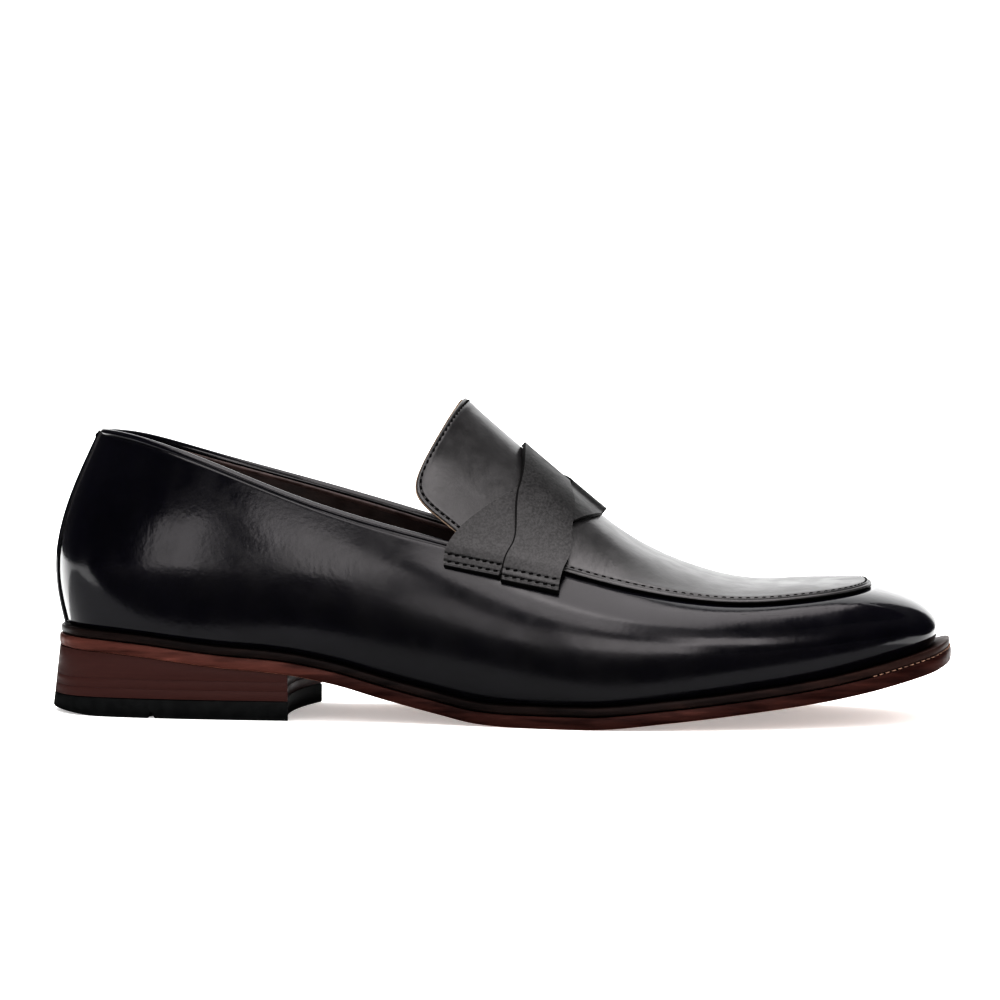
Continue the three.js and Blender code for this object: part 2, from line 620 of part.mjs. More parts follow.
// ---------- crossed bands ----------
// Each band is a strip of leather sewn to both sides of the skirt. One arches back over the ridge and the
// other forward, so they cross on both flanks: the front band is on top on the outer flank, the rear inside.
const BAND_LIFT = BAND + GAP;
const BAND_ON_SKIRT = 0.45;
const BAND_ON_APRON = APRON_OUT + 0.4;
// The middle line and half width of each band in stations, against its share of the way from ridge to end.
const FRONT_BAND = {
  middle: heightProfile([[0, 5.65], [0.37, 5.92], [0.7, 6.23], [1, 6.25]]),
  halfWidth: heightProfile([[0, 0.29], [0.37, 0.3], [0.7, 0.27], [1, 0.27]]),
  endRail: 2.33,
  over: -1,
};
const REAR_BAND = {
  middle: heightProfile([[0, 6.21], [0.41, 5.95], [0.7, 5.76], [1, 5.72]]),
  halfWidth: heightProfile([[0, 0.23], [0.41, 0.33], [0.7, 0.28], [1, 0.25]]),
  endRail: 2.42,
  over: 1,
};

function bandPoint(band, t, across, out) { // t from -1 at the outer end to 1 at the inner end
  const share = Math.abs(t);
  const v = THREE.MathUtils.lerp(RAILS - 1, band.endRail, share);
  const u = band.middle(share) + across * band.halfWidth(share);
  const onTop = smooth(t * band.over, -0.01, 0.05) * smooth(share, 1, 0.92);
  const rest = THREE.MathUtils.lerp(BAND_ON_SKIRT, BAND_ON_APRON, smooth(v, 2.52, 2.97));
  return offsetPoint(VAMP_NET, t < 0 ? u : STATIONS - u, v, rest + onTop * BAND_LIFT + out);
}

function bandSheet(band) {
  const face = (out) => span(-1, 1, 34).map((t) => span(-1, 1, 4).map((c) => bandPoint(band, t, c, out)));
  return sheet(face(BAND), face(0), { low: true, high: true, start: true, end: true });
}
add("band_front", bandSheet(FRONT_BAND), BLACK_CALF);
add("band_rear", bandSheet(REAR_BAND), BLACK_CALF);

// ---------- trim ----------
// A narrow strip over the back seam.
const BACKSTAY_END = 0.45; // its last station on either side
function backstay() {
  const rows = wallRows(0).slice(0, -1);
  const us = [-BACKSTAY_END, -1 / 3, 0, 1 / 3, BACKSTAY_END];
  const face = (out) => us.map((u) => rows.map((v) => offsetPoint(SKIRT_NET, wrap(u), v, out)));
  return sheet(face(GAP + BACKSTAY), face(GAP), { low: true, high: true, start: true, end: true });
}
add("backstay", backstay(), BLACK_CALF);

const BINDING_END = 5.5; // station where the rolled edge runs under the tongue
// The rolled edge of the topline sits on the skirt's and the lining's edges.
function toplineBinding() {
  const us = span(-BINDING_END, BINDING_END, 4 * BINDING_END);
  const rings = us.map((u) => {
    const station = wrap(u);
    const normal = upperNormal(SKIRT_NET, station, 3);
    const up = upperPoint(SKIRT_NET, station, 3).sub(upperPoint(SKIRT_NET, station, 2.9)).normalize();
    const middle = upperPoint(SKIRT_NET, station, 3)
      .addScaledVector(normal, -(UPPER + GAP) + 0.6)
      .addScaledVector(up, GAP - BINDING_RISE);
    return span(0, Math.PI * 2, 8).slice(0, -1).map((a) => middle.clone()
      .addScaledVector(normal, BINDING_HALF_WIDTH * Math.cos(a))
      .addScaledVector(up, BINDING_RISE * Math.sin(a)));
  });
  return ringSweep(rings);
}
add("topline_binding", toplineBinding(), BLACK_CALF);

// ---------- place the origin on the floor under the middle of the box ----------
const box = new THREE.Box3().setFromObject(shoe, true);
shoe.children.forEach((mesh) => {
  mesh.position.set(-(box.min.x + box.max.x) / 2, -(box.min.y + box.max.y) / 2, -box.min.z);
});

export default shoe;
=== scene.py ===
"""The looks of a black apron-front loafer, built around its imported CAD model.

Shapes are worked out in millimetres on the shoe's own rails, the same ones that the CAD pieces follow, and
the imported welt's box sets them in the frame. +X points to the toe, -Y to the foot's outer side, +Z up.
"""
import math

import bmesh
import bpy
import numpy as np
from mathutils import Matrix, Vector


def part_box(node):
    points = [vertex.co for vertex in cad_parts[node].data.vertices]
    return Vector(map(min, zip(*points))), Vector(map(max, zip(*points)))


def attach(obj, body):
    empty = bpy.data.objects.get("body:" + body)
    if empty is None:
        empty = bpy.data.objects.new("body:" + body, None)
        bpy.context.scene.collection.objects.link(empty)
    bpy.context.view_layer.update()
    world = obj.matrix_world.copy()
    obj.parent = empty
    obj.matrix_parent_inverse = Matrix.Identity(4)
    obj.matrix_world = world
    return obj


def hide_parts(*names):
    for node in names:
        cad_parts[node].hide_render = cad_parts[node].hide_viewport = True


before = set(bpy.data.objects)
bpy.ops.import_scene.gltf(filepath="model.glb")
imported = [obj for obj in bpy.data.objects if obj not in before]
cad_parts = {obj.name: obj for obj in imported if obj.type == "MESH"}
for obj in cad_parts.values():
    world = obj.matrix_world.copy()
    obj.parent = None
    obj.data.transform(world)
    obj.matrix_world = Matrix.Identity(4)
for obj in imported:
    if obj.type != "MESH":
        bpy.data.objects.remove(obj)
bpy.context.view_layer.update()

# ---------- sizes, in millimetres ----------
MM = 0.001
GAP = 0.3  # between neighbouring pieces
UPPER = 1.3
LINING = 0.9
STIFFENER = 1.1
APRON = 1.3
BAND = 1.2
BACKSTAY = 1.0
WELT = 2.7
OUTSOLE_TOP = -3.05
OUTSOLE_BOTTOM = -7.2
TOE_THICKENING = 0.9  # how much thicker the outsole is at the toe
TOP_LIFT = 6.4
HEEL_LIFT = 3.2
HEEL_TOP = 22
HEEL_BREAST_X = -67
HEEL_HOLLOW = 4
HEEL_SLANT = 2.5
INSOLE_TOP = 5.3
HEEL_PAD = 2.5
SOCK = 1.0

# ---------- the rails of the last ----------
# A rail is a row of (x, half width, height) points from the back, station 0, to the toe, station 12.
STATIONS = 24
TOE = 12
FIRST_ARCH = 4  # the station where HAUNCH and RIDGE start
# (x, height) of the welt's top face.
SEAT_HEIGHT = [
    (-153, 29.7), (-135, 29.1), (-120, 28.0), (-92, 24.8), (-70, 23.0), (-52, 19.8), (-35, 15.2),
    (-17, 10.9), (-2, 7.9), (10, 7.2), (33, 7.2), (62, 9.7), (86, 12.5), (110, 16.1), (125, 19.2),
    (137, 22.4), (147, 25.4), (154, 27.8),
]
# (x, half width) of the welt's edge, and how far it reaches out beyond the upper.
WELT_EDGE = [
    (-149.2, 0), (-144.6, 15), (-131.5, 25.8), (-100, 32), (-65, 34), (-30, 37), (5, 45), (40, 52),
    (76, 49), (108, 40.5), (134, 30.5), (148.6, 19), (151.8, 0),
]
WELT_REACH = [2.2, 2.2, 2.3, 2.6, 3.0, 3.3, 3.8, 4.2, 4.4, 4.6, 4.8, 5.1, 5.2]
BULGE = [
    (-149.9, 0, 50), (-145.6, 16, 50), (-132.5, 26.6, 49), (-100, 32.6, 46), (-65, 35.2, 40),
    (-30, 38.2, 33), (5, 45.4, 27), (40, 50.6, 24.5), (75.5, 47.4, 24.5), (107, 38.6, 27),
    (132, 28.3, 29.6), (144.5, 17.2, 31.6), (147.6, 0, 32.4),
]
SHOULDER = [
    (-145.1, 0, 72.5), (-141.2, 13.6, 72.5), (-129.2, 23.8, 71.5), (-99.5, 30.8, 67.5), (-64.5, 34.6, 58.5),
    (-29.5, 37.4, 50), (6, 42.6, 43.2), (41, 46.6, 37.6), (75.5, 43.8, 34.8), (104.5, 35.4, 35.8),
    (127, 25.9, 38.1), (137.1, 14.6, 39.5), (139.7, 0, 39.9),
]
TOP_EDGE = [
    (-134.4, 0, 96.2), (-132.3, 8.6, 96.0), (-121.5, 18.2, 94.6), (-96.5, 26.8, 87.2), (-63, 31.4, 74.7),
    (-28, 33.4, 64.5), (8, 35, 55.3), (42, 36.8, 46.2), (76, 35, 40.7), (101, 28.8, 41), (117, 21, 42.7),
    (124, 10.6, 43.8), (125.6, 0, 44.2),
]
TONGUE_EDGE_4 = (-43.5, 33, 74.5)
HAUNCH = [
    (-23.4, 24, 97.8), (-9.3, 23.5, 86.4), (19.7, 22, 70.2), (46.6, 21.6, 54.3), (77, 20.5, 44.2),
    (99, 16, 43.6), (111.5, 11.5, 44.1), (117, 5.5, 44.5), (118.6, 0, 44.6),
]
# (x, height) of the middle of the tongue and apron.
RIDGE = [
    (-15.3, 108.2), (-1.5, 95.9), (23.2, 74.8), (47.8, 56.2), (77, 45.4), (97, 43.8), (107, 44.2),
    (111, 44.4), (112, 44.4),
]
RAILS = 6
LAST_RAIL = RAILS - 1
EDGE_RAIL = 3  # the topline, and the seam under the apron's edge


# ---------- curves and surfaces ----------
def smoothstep(x, start, end):
    t = np.clip((np.asarray(x, float) - start) / (end - start), 0, 1)
    return t * t * (3 - 2 * t)


def bell(x, centre, spread):
    return np.exp(-(((np.asarray(x, float) - centre) / spread) ** 2))


def lerp(a, b, t):
    return a + (b - a) * t


def hermite(a, b, slope_a, slope_b, t):
    """The cubic from a to b over t in 0 to 1."""
    square, cube = t * t, t * t * t
    return (
        (2 * cube - 3 * square + 1) * a
        + (cube - 2 * square + t) * slope_a
        + (3 * square - 2 * cube) * b
        + (cube - square) * slope_b
    )


def slope_matrix(count, closed):
    """Turns points spaced one apart into the slopes of the smoothest cubic curve through them."""
    left, right = np.zeros((count, count)), np.zeros((count, count))
    for i in range(count):
        before, after = (i - 1) % count, (i + 1) % count
        left[i, before] += 1
        left[i, i] += 4
        left[i, after] += 1
        right[i, after] += 3
        right[i, before] -= 3
    if not closed:
        for end, inside in ((0, 1), (count - 1, count - 2)):
            left[end] = right[end] = 0
            left[end, end], left[end, inside] = 2, 1
            right[end, max(end, inside)], right[end, min(end, inside)] = 3, -3
    return np.linalg.solve(left, right)


def profile(points):
    """A curve through (x, value) points that rises and falls only where they do."""
    xs, values = (np.array(column, float) for column in zip(*points))
    steps = np.diff(values) / np.diff(xs)
    tangents = np.zeros(len(xs))
    for i in range(1, len(xs) - 1):
        before, after = steps[i - 1], steps[i]
        if before * after > 0:
            tangents[i] = 2 * before * after / (before + after)

    def value_at(x):
        x = np.clip(np.asarray(x, float), xs[0], xs[-1])
        i = np.clip(np.searchsorted(xs, x, side="right") - 1, 0, len(xs) - 2)
        width = xs[i + 1] - xs[i]
        t = (x - xs[i]) / width
        return hermite(values[i], values[i + 1], tangents[i] * width, tangents[i + 1] * width, t)

    return value_at


seat_height = profile(SEAT_HEIGHT)


class Loop:
    """A smooth closed curve through one value for each station."""

    def __init__(self, values):
        self.values = np.array(values, float)
        self.slopes = np.tensordot(slope_matrix(STATIONS, True), self.values, 1)

    def __call__(self, u):
        u = np.asarray(u, float) % STATIONS
        k = np.minimum(u.astype(int), STATIONS - 1)
        after = (k + 1) % STATIONS
        t = (u - k).reshape(u.shape + (1,) * (self.values.ndim - 1))
        return hermite(self.values[k], self.values[after], self.slopes[k], self.slopes[after], t)


class Upper:
    """The upper's outer face: station u runs round the shoe and rail v from the feather edge to the ridge.

    The net's rows from arches_from on run over the ridge and down the other side, and the rows behind them
    end above the topline.
    """

    def __init__(self, net, first, closed, arches_from):
        self.net, self.first, self.closed = net, first, closed
        self.slopes_along = slope_matrix(len(net), closed)
        self.slopes_up = np.zeros_like(net)
        for i in range(len(net)):
            station = first + i
            if from_back(station) >= arches_from:
                other = net[STATIONS - station - first]
                arch = np.concatenate([net[i], other[-2::-1]])
                self.slopes_up[i] = (slope_matrix(len(arch), False) @ arch)[:RAILS]
            else:
                self.slopes_up[i, :LAST_RAIL] = slope_matrix(LAST_RAIL, False) @ net[i, :LAST_RAIL]

    def at(self, u, v):
        shape = np.broadcast(u, v).shape
        u = np.broadcast_to(np.asarray(u, float), shape).ravel() - self.first
        v = np.broadcast_to(np.asarray(v, float), shape).ravel()
        r = np.clip(v.astype(int), 0, RAILS - 2)
        t = (v - r)[None, :, None]
        net, steep = self.net, self.slopes_up
        arches = hermite(net[:, r], net[:, r + 1], steep[:, r], steep[:, r + 1], t)
        slopes = np.tensordot(self.slopes_along, arches, 1)
        count = len(net)
        if self.closed:
            u = u % count
        k = np.clip(np.floor(u).astype(int), 0, count - 1 if self.closed else count - 2)
        column = np.arange(len(u))
        a, b = (k, column), ((k + 1) % count, column)
        point = hermite(arches[a], arches[b], slopes[a], slopes[b], (u - k)[:, None])
        return point.reshape(shape + (3,))

    def normal(self, u, v):
        step = 0.03
        v = np.asarray(v, float)
        inside = np.minimum(v, LAST_RAIL - 0.02)
        along = self.at(u + step, inside) - self.at(u - step, inside)
        up = self.at(u, np.minimum(v + step, LAST_RAIL)) - self.at(u, np.maximum(v - step, 0))
        normal = np.cross(along, up)
        on_ridge = v >= LAST_RAIL - 1e-6
        if np.any(on_ridge):
            normal[..., 1] = np.where(on_ridge, 0, normal[..., 1])
        return unit(normal)

    def out(self, u, v, distance):
        """Points at a distance outside the face."""
        return self.at(u, v) + self.normal(u, v) * np.asarray(distance)[..., None]


def unit(vectors):
    return vectors / np.maximum(np.linalg.norm(vectors, axis=-1, keepdims=True), 1e-12)


def from_back(u):
    """Stations from the back along either side."""
    u = np.asarray(u, float) % STATIONS
    return np.where(u <= TOE, u, STATIONS - u)


def side_point(k, x, half_width, z=0.0):
    """A rail's point at station k: the inner side is hollow at the arch and fuller at the big toe."""
    if k > TOE and half_width > 0:
        shift = -6.5 * bell(x, -25, 34) - 2.5 * bell(x, 22, 26) + 1.8 * bell(x, 82, 30)
        return np.array([x, half_width + shift * min(1, half_width / 20), z])
    return np.array([x, half_width if k > TOE else -half_width, z])


def raised(k, point, share):
    """The inner side of the upper stands a little higher."""
    if k > TOE:
        x = point[0]
        point[2] += share * (2.4 * bell(x, -42, 32) - 2.4 * bell(x, -107, 24) + 1.3 * bell(x, 105, 26))
    return point


def mirrored(k):
    return k if k <= TOE else STATIONS - k


welt_edge = Loop([side_point(k, *WELT_EDGE[mirrored(k)]) for k in range(STATIONS)])
welt_reach = Loop([WELT_REACH[mirrored(k)] for k in range(STATIONS)])


def centre_line(edge):
    """The points of the sole's centre line that its plan columns run to."""
    centre = np.zeros_like(edge)
    centre[..., 0] = np.clip(edge[..., 0], -118, 114)
    return centre


def towards_centre(edge, distance):
    return edge + unit(centre_line(edge) - edge) * np.asarray(distance)[..., None]


def plan_points(u, inset, lift):
    """Points inside the welt's edge, at a height over its top face."""
    point = towards_centre(welt_edge(u), inset)
    point[..., 2] = seat_height(point[..., 0]) + lift
    return point


def control_net(with_tongue):
    net = []
    for k in range(STATIONS):
        m = mirrored(k)
        feather = plan_points(float(k), WELT_REACH[m], GAP)
        bulge = side_point(k, *BULGE[m])
        shoulder = raised(k, side_point(k, *SHOULDER[m]), 0.5)
        edge = raised(k, side_point(k, *TOP_EDGE[m]), 1)
        haunch = 2 * edge - shoulder
        ridge = haunch
        if m > FIRST_ARCH or (with_tongue and m == FIRST_ARCH):
            if m == FIRST_ARCH:
                edge = side_point(k, *TONGUE_EDGE_4)
            haunch = raised(k, side_point(k, *HAUNCH[m - FIRST_ARCH]), 0.4)
            x, z = RIDGE[m - FIRST_ARCH]
            ridge = np.array([x, 0, z])
        net.append([feather, bulge, shoulder, edge, haunch, ridge])
    return np.array(net, float)


def vamp_net():
    """The arches of the vamp and tongue, carried one station further back than the first."""
    net = control_net(True)
    for behind, first, following in ((3, 4, 5), (21, 20, 19)):
        net[behind, 3:] = 2 * net[first, 3:] - net[following, 3:]
    return net[3:22]


SKIRT = Upper(control_net(False), first=0, closed=True, arches_from=FIRST_ARCH + 1)
VAMP = Upper(vamp_net(), first=3, closed=False, arches_from=3)

# ---------- from the shoe's millimetres to the frame's metres ----------
welt_low, welt_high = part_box("welt")
cad_columns = welt_edge(np.arange(0, STATIONS, 0.5))
frame_offset = np.array([
    (welt_low.x + welt_high.x) / 2 - MM * (cad_columns[:, 0].min() + cad_columns[:, 0].max()) / 2,
    (welt_low.y + welt_high.y) / 2 - MM * (cad_columns[:, 1].min() + cad_columns[:, 1].max()) / 2,
    0.0,
])


def to_frame(points):
    return np.asarray(points) * MM + frame_offset


# ---------- meshes ----------
def new_piece(name, vertices, faces, materials, replaces=(), slot=None, crease=40, tags=None):
    """A piece that rides on the shoe, from points in millimetres and faces of their numbers.

    A face's tag is the number of its material. Edges sharper than the crease, in degrees, stay sharp.
    """
    mesh = bpy.data.meshes.new(name)
    mesh.from_pydata(to_frame(vertices).tolist(), [], [tuple(map(int, face)) for face in faces])
    shape = bmesh.new()
    shape.from_mesh(mesh)
    if tags is not None:
        for face, tag in zip(shape.faces, tags):
            face.material_index = tag
    bmesh.ops.remove_doubles(shape, verts=shape.verts, dist=2e-6)
    bmesh.ops.dissolve_degenerate(shape, edges=shape.edges, dist=1e-6)
    bmesh.ops.recalc_face_normals(shape, faces=shape.faces)
    shape.to_mesh(mesh)
    shape.free()
    mesh.shade_smooth()
    mesh.set_sharp_from_angle(angle=math.radians(crease))
    for material in materials:
        mesh.materials.append(material)
    piece = bpy.data.objects.new(name, mesh)
    bpy.context.scene.collection.objects.link(piece)
    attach(piece, "root")
    if replaces:
        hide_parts(*replaces)
    return piece


def sheet_piece(name, top, bottom, materials, closed=False, ends=True, painted=None, **options):
    """A sheet between two grids of points.

    Its walls take the second material, if there is one, and so do the faces of its top that are painted; on
    the bands these painted faces are painted shade.
    """
    rows, columns = top.shape[:2]
    count = rows * columns
    faces, tags = [], []

    def number(i, j, bottom):
        return (i % rows) * columns + j + (count if bottom else 0)

    def add(corners, tag):
        faces.append(corners)
        tags.append(tag)

    wall = min(1, len(materials) - 1)
    for i in range(rows if closed else rows - 1):
        for j in range(columns - 1):
            tag = wall if painted is not None and painted[i, j] else 0
            add([number(i, j, 0), number(i + 1, j, 0), number(i + 1, j + 1, 0), number(i, j + 1, 0)], tag)
            add([number(i, j, 1), number(i, j + 1, 1), number(i + 1, j + 1, 1), number(i + 1, j, 1)], 0)
        for j in (0, columns - 1):
            add([number(i, j, 0), number(i, j, 1), number(i + 1, j, 1), number(i + 1, j, 0)], wall)
    if ends and not closed:
        for i in (0, rows - 1):
            for j in range(columns - 1):
                add([number(i, j, 0), number(i, j + 1, 0), number(i, j + 1, 1), number(i, j, 1)], wall)
    vertices = np.concatenate([top.reshape(-1, 3), bottom.reshape(-1, 3)])
    return new_piece(name, vertices, faces, materials, tags=tags, **options)


def tube_faces(count, size, closed=False, first=0):
    """Faces through closed rings of numbered points, with flat ends unless the tube closes on itself."""
    faces = []
    for i in range(count if closed else count - 1):
        a, b = first + i * size, first + (i + 1) % count * size
        for j in range(size):
            k = (j + 1) % size
            faces.append([a + j, a + k, b + k, b + j])
    if not closed:
        for end in (first, first + (count - 1) * size):
            faces.append(list(range(end, end + size)))
    return faces


def swept_piece(name, rings, material, closed=False, **options):
    faces = tube_faces(*rings.shape[:2], closed)
    return new_piece(name, rings.reshape(-1, 3), faces, [material], **options)


def resampled(points, normals, pitch):
    """Points along a line at even steps of about a pitch, with their normals and directions."""
    lengths = np.concatenate([[0], np.cumsum(np.linalg.norm(np.diff(points, axis=0), axis=1))])
    count = max(int(round(lengths[-1] / pitch)), 1)
    at = (np.arange(count) + 0.5) * lengths[-1] / count

    def along(values, where):
        return np.stack([np.interp(where, lengths, values[:, axis]) for axis in range(3)], axis=1)

    ahead, behind = along(points, at + pitch / 4), along(points, at - pitch / 4)
    return along(points, at), unit(along(normals, at)), unit(ahead - behind)


def stitches(name, lines, material, pitch, length, radius, slant=0.0):
    """Rows of stitches as one piece: each is a short arc of thread whose ends dive into the leather."""
    sides, sections = 8, 9
    turn = np.linspace(0, 2 * math.pi, sides, endpoint=False)
    share = np.linspace(-1, 1, sections)
    vertices, faces = [], []
    for points, normals in lines:
        for centre, normal, along in zip(*resampled(points, normals, pitch)):
            across = np.cross(normal, along)
            direction = along * math.cos(slant) + across * math.sin(slant)
            across = np.cross(normal, direction)
            first = len(vertices)
            for s in share:
                thickness = radius * (1 - 0.25 * s * s)
                height = 0.55 * radius - 1.9 * radius * s**4
                middle = centre + direction * (s * length / 2) + normal * height
                for angle in turn:
                    spoke = across * math.cos(angle) + normal * math.sin(angle)
                    vertices.append(middle + spoke * thickness)
            faces += tube_faces(sections, sides, first=first)
    return new_piece(name, np.array(vertices), faces, [material], crease=60)


# ---------- materials ----------
class Look:
    """A node material with the helpers that the shoe's materials share."""

    def __init__(self, name, color, roughness, **sockets):
        self.material = bpy.data.materials.new(name)
        self.material.use_nodes = True
        self.nodes = self.material.node_tree.nodes
        self.links = self.material.node_tree.links
        self.shader = self.nodes["Principled BSDF"]
        self.shader.inputs["Base Color"].default_value = (*color, 1)
        self.shader.inputs["Roughness"].default_value = roughness
        for socket, value in sockets.items():
            self.shader.inputs[socket.replace("_", " ")].default_value = value
        self.place = self.nodes.new("ShaderNodeTexCoord").outputs["Object"]
        self.bump = None

    def texture(self, kind, size, stretch=(1, 1, 1), **sockets):
        """A texture whose features are about a size in millimetres, stretched along each axis."""
        mapping = self.nodes.new("ShaderNodeMapping")
        mapping.inputs["Scale"].default_value = [1 / (size * MM * s) for s in stretch]
        self.links.new(self.place, mapping.inputs["Vector"])
        texture = self.nodes.new(kind)
        for socket, value in {"Scale": 1, **sockets}.items():
            texture.inputs[socket].default_value = value
        self.links.new(mapping.outputs["Vector"], texture.inputs["Vector"])
        return texture

    def noise(self, size, detail, stretch=(1, 1, 1), roughness=0.5):
        texture = self.texture("ShaderNodeTexNoise", size, stretch, Detail=detail, Roughness=roughness)
        return texture.outputs["Fac"]

    def cells(self, size):
        return self.texture("ShaderNodeTexVoronoi", size).outputs["Distance"]

    def axis(self, axis, start, end):
        """0 to 1 from one place to another along an axis, in millimetres."""
        split = self.nodes.new("ShaderNodeSeparateXYZ")
        self.links.new(self.place, split.inputs["Vector"])
        return self.remapped(split.outputs[axis], 0, 1, start * MM, end * MM)

    def ramp(self, value, stops):
        """A colour from a value, through (position, colour) stops."""
        node = self.nodes.new("ShaderNodeValToRGB")
        elements = node.color_ramp.elements
        node.color_ramp.interpolation = "EASE"
        while len(elements) < len(stops):
            elements.new(0.5)
        for element, (position, color) in zip(elements, stops):
            element.position = position
            element.color = (*color, 1)
        self.links.new(value, node.inputs["Fac"])
        return node.outputs["Color"]

    def stepped(self, value, stops):
        """A number from a value, through (position, number) stops."""
        return self.ramp(value, [(position, (number,) * 3) for position, number in stops])

    def combined(self, kind, a, b):
        """A sum, difference or product of two values."""
        node = self.nodes.new("ShaderNodeMath")
        node.operation = kind
        for socket, value in zip(node.inputs, (a, b)):
            if isinstance(value, (int, float)):
                socket.default_value = value
            else:
                self.links.new(value, socket)
        return node.outputs["Value"]

    def remapped(self, value, low, high, start=0.35, end=0.65):
        """A number from low to high while a value goes from start to end."""
        node = self.nodes.new("ShaderNodeMapRange")
        node.inputs["From Min"].default_value = start
        node.inputs["From Max"].default_value = end
        node.inputs["To Min"].default_value = low
        node.inputs["To Max"].default_value = high
        node.interpolation_type = "SMOOTHSTEP"
        self.links.new(value, node.inputs["Value"])
        return node.outputs["Result"]

    def vary(self, socket, value):
        """Drives a socket of the shader with a value."""
        self.links.new(value, self.shader.inputs[socket])

    def roughen(self, low, high, size, detail, stretch=(1, 1, 1)):
        """Varies the roughness from low to high over noise."""
        self.vary("Roughness", self.remapped(self.noise(size, detail, stretch), low, high))

    def colors(self, value, stops):
        """Base colour from a value, through (position, colour) stops."""
        self.vary("Base Color", self.ramp(value, stops))

    def tones(self, dark, light, size, detail):
        """Varies the base colour between two tones over noise."""
        self.colors(self.noise(size, detail), [(0.3, dark), (0.7, light)])

    def raise_by(self, value, depth):
        """Adds a bump of a depth in millimetres."""
        node = self.nodes.new("ShaderNodeBump")
        node.inputs["Distance"].default_value = depth * MM
        self.links.new(value, node.inputs["Height"])
        if self.bump:
            self.links.new(self.bump, node.inputs["Normal"])
        self.bump = node.outputs["Normal"]
        self.links.new(self.bump, self.shader.inputs["Normal"])


def polished_leather():
    """Calf that is brushed to a gloss at the heel and toe, and satin between."""
    look = Look("polished_black_calf", (0.002, 0.002, 0.0028), 0.3, Coat_Weight=0.15, Coat_Roughness=0.12)
    gloss = look.stepped(look.axis("X", -152, 152), [
        (0.0, 0.15), (0.2, 0.18), (0.36, 0.24), (0.68, 0.24), (0.85, 0.18), (1.0, 0.15),
    ])
    look.vary("Roughness", look.combined("ADD", gloss, look.remapped(look.noise(9, 3), -0.03, 0.03)))
    look.tones((0.0012, 0.0011, 0.0028), (0.0022, 0.002, 0.004), 14, 3)
    look.raise_by(look.noise(16, 2), 0.08)
    look.raise_by(look.noise(1.8, 2), 0.028)
    look.raise_by(look.cells(1.3), 0.006)
    return look.material


def grained_leather():
    look = Look("grained_black_calf", (0.003, 0.003, 0.0032), 0.45, Specular_IOR_Level=0.65)
    look.roughen(0.42, 0.5, 5, 3)
    look.colors(look.noise(0.75, 3), [(0.35, (0.0005, 0.0005, 0.0006)), (0.65, (0.012, 0.0114, 0.0118))])
    look.raise_by(look.noise(9, 2), 0.16)
    look.raise_by(look.noise(1.6, 2), 0.06)
    look.raise_by(look.cells(1.1), 0.03)
    return look.material


def satin_leather():
    look = Look("satin_black_calf", (0.003, 0.0029, 0.0031), 0.31, Specular_IOR_Level=0.9)
    look.roughen(0.285, 0.34, 7, 3)
    look.tones((0.014, 0.0132, 0.0136), (0.021, 0.0198, 0.0204), 4, 4)
    look.raise_by(look.noise(15, 2), 0.1)
    look.raise_by(look.noise(1.8, 2), 0.04)
    look.raise_by(look.cells(1.2), 0.015)
    return look.material


def cut_edge():
    # Black for the cut edges of the apron and bands, and for the faces of the bands' tops that are painted
    # shade.
    look = Look("black_cut_edge_and_painted_shade", (0.0015, 0.0015, 0.0016), 0.6, Specular_IOR_Level=0.15)
    look.raise_by(look.noise(0.6, 3), 0.03)
    return look.material


def lining_leather():
    look = Look("brown_lining_leather", (0.03, 0.017, 0.014), 0.55, Specular_IOR_Level=0.3)
    look.tones((0.02, 0.0098, 0.008), (0.036, 0.019, 0.0155), 6, 4)
    look.roughen(0.48, 0.62, 4, 3)
    look.raise_by(look.cells(0.7), 0.03)
    look.raise_by(look.noise(8, 2), 0.12)
    return look.material


def lining_fold():
    # Lighter than the lining: a painted highlight along the top of the lining's fold.
    look = Look("lining_fold_painted_highlight", (0.07, 0.045, 0.04), 0.42, Specular_IOR_Level=0.5)
    look.tones((0.045, 0.026, 0.022), (0.095, 0.06, 0.054), 4, 4)
    look.roughen(0.38, 0.5, 4, 3)
    look.raise_by(look.cells(0.7), 0.03)
    return look.material


def sock_leather():
    look = Look("brown_sock_leather", (0.035, 0.02, 0.016), 0.6, Specular_IOR_Level=0.25)
    look.tones((0.026, 0.014, 0.0115), (0.034, 0.0185, 0.015), 9, 3)
    look.roughen(0.52, 0.66, 4, 3)
    look.raise_by(look.cells(0.9), 0.03)
    return look.material


def lining_edge():
    look = Look("pale_lining_edge", (0.2, 0.14, 0.09), 0.7)
    look.tones((0.13, 0.085, 0.055), (0.24, 0.17, 0.12), 2, 3)
    look.raise_by(look.noise(0.5, 3), 0.05)
    return look.material


def thread():
    look = Look("black_waxed_thread", (0.0015, 0.0015, 0.0015), 0.6, Specular_IOR_Level=0.12)
    look.raise_by(look.noise(0.25, 2), 0.04)
    return look.material


def sole_thread():
    look = Look("tan_sole_thread", (0.3, 0.17, 0.1), 0.7)
    look.tones((0.09, 0.045, 0.03), (0.22, 0.125, 0.08), 1.5, 3)
    look.raise_by(look.noise(0.25, 2), 0.04)
    return look.material


def sole_edge():
    look = Look("burnished_sole_edge", (0.11, 0.034, 0.024), 0.45, Specular_IOR_Level=0.04)
    grain = look.noise(2.2, 5, stretch=(9, 9, 1))
    # Painted shade: the edge's colour darkens from the heel's front on towards the toe.
    shade_towards_toe = look.remapped(look.axis("X", -95, -20), 0, 0.35, 0, 1)
    look.colors(look.combined("SUBTRACT", grain, shade_towards_toe), [
        (0, (0.014, 0.0042, 0.0034)), (0.25, (0.028, 0.0098, 0.0078)), (0.5, (0.062, 0.0235, 0.0185)),
        (0.75, (0.11, 0.043, 0.034)),
    ])
    look.roughen(0.32, 0.45, 4, 3)
    look.raise_by(look.noise(0.7, 4, stretch=(8, 8, 1)), 0.03)
    return look.material


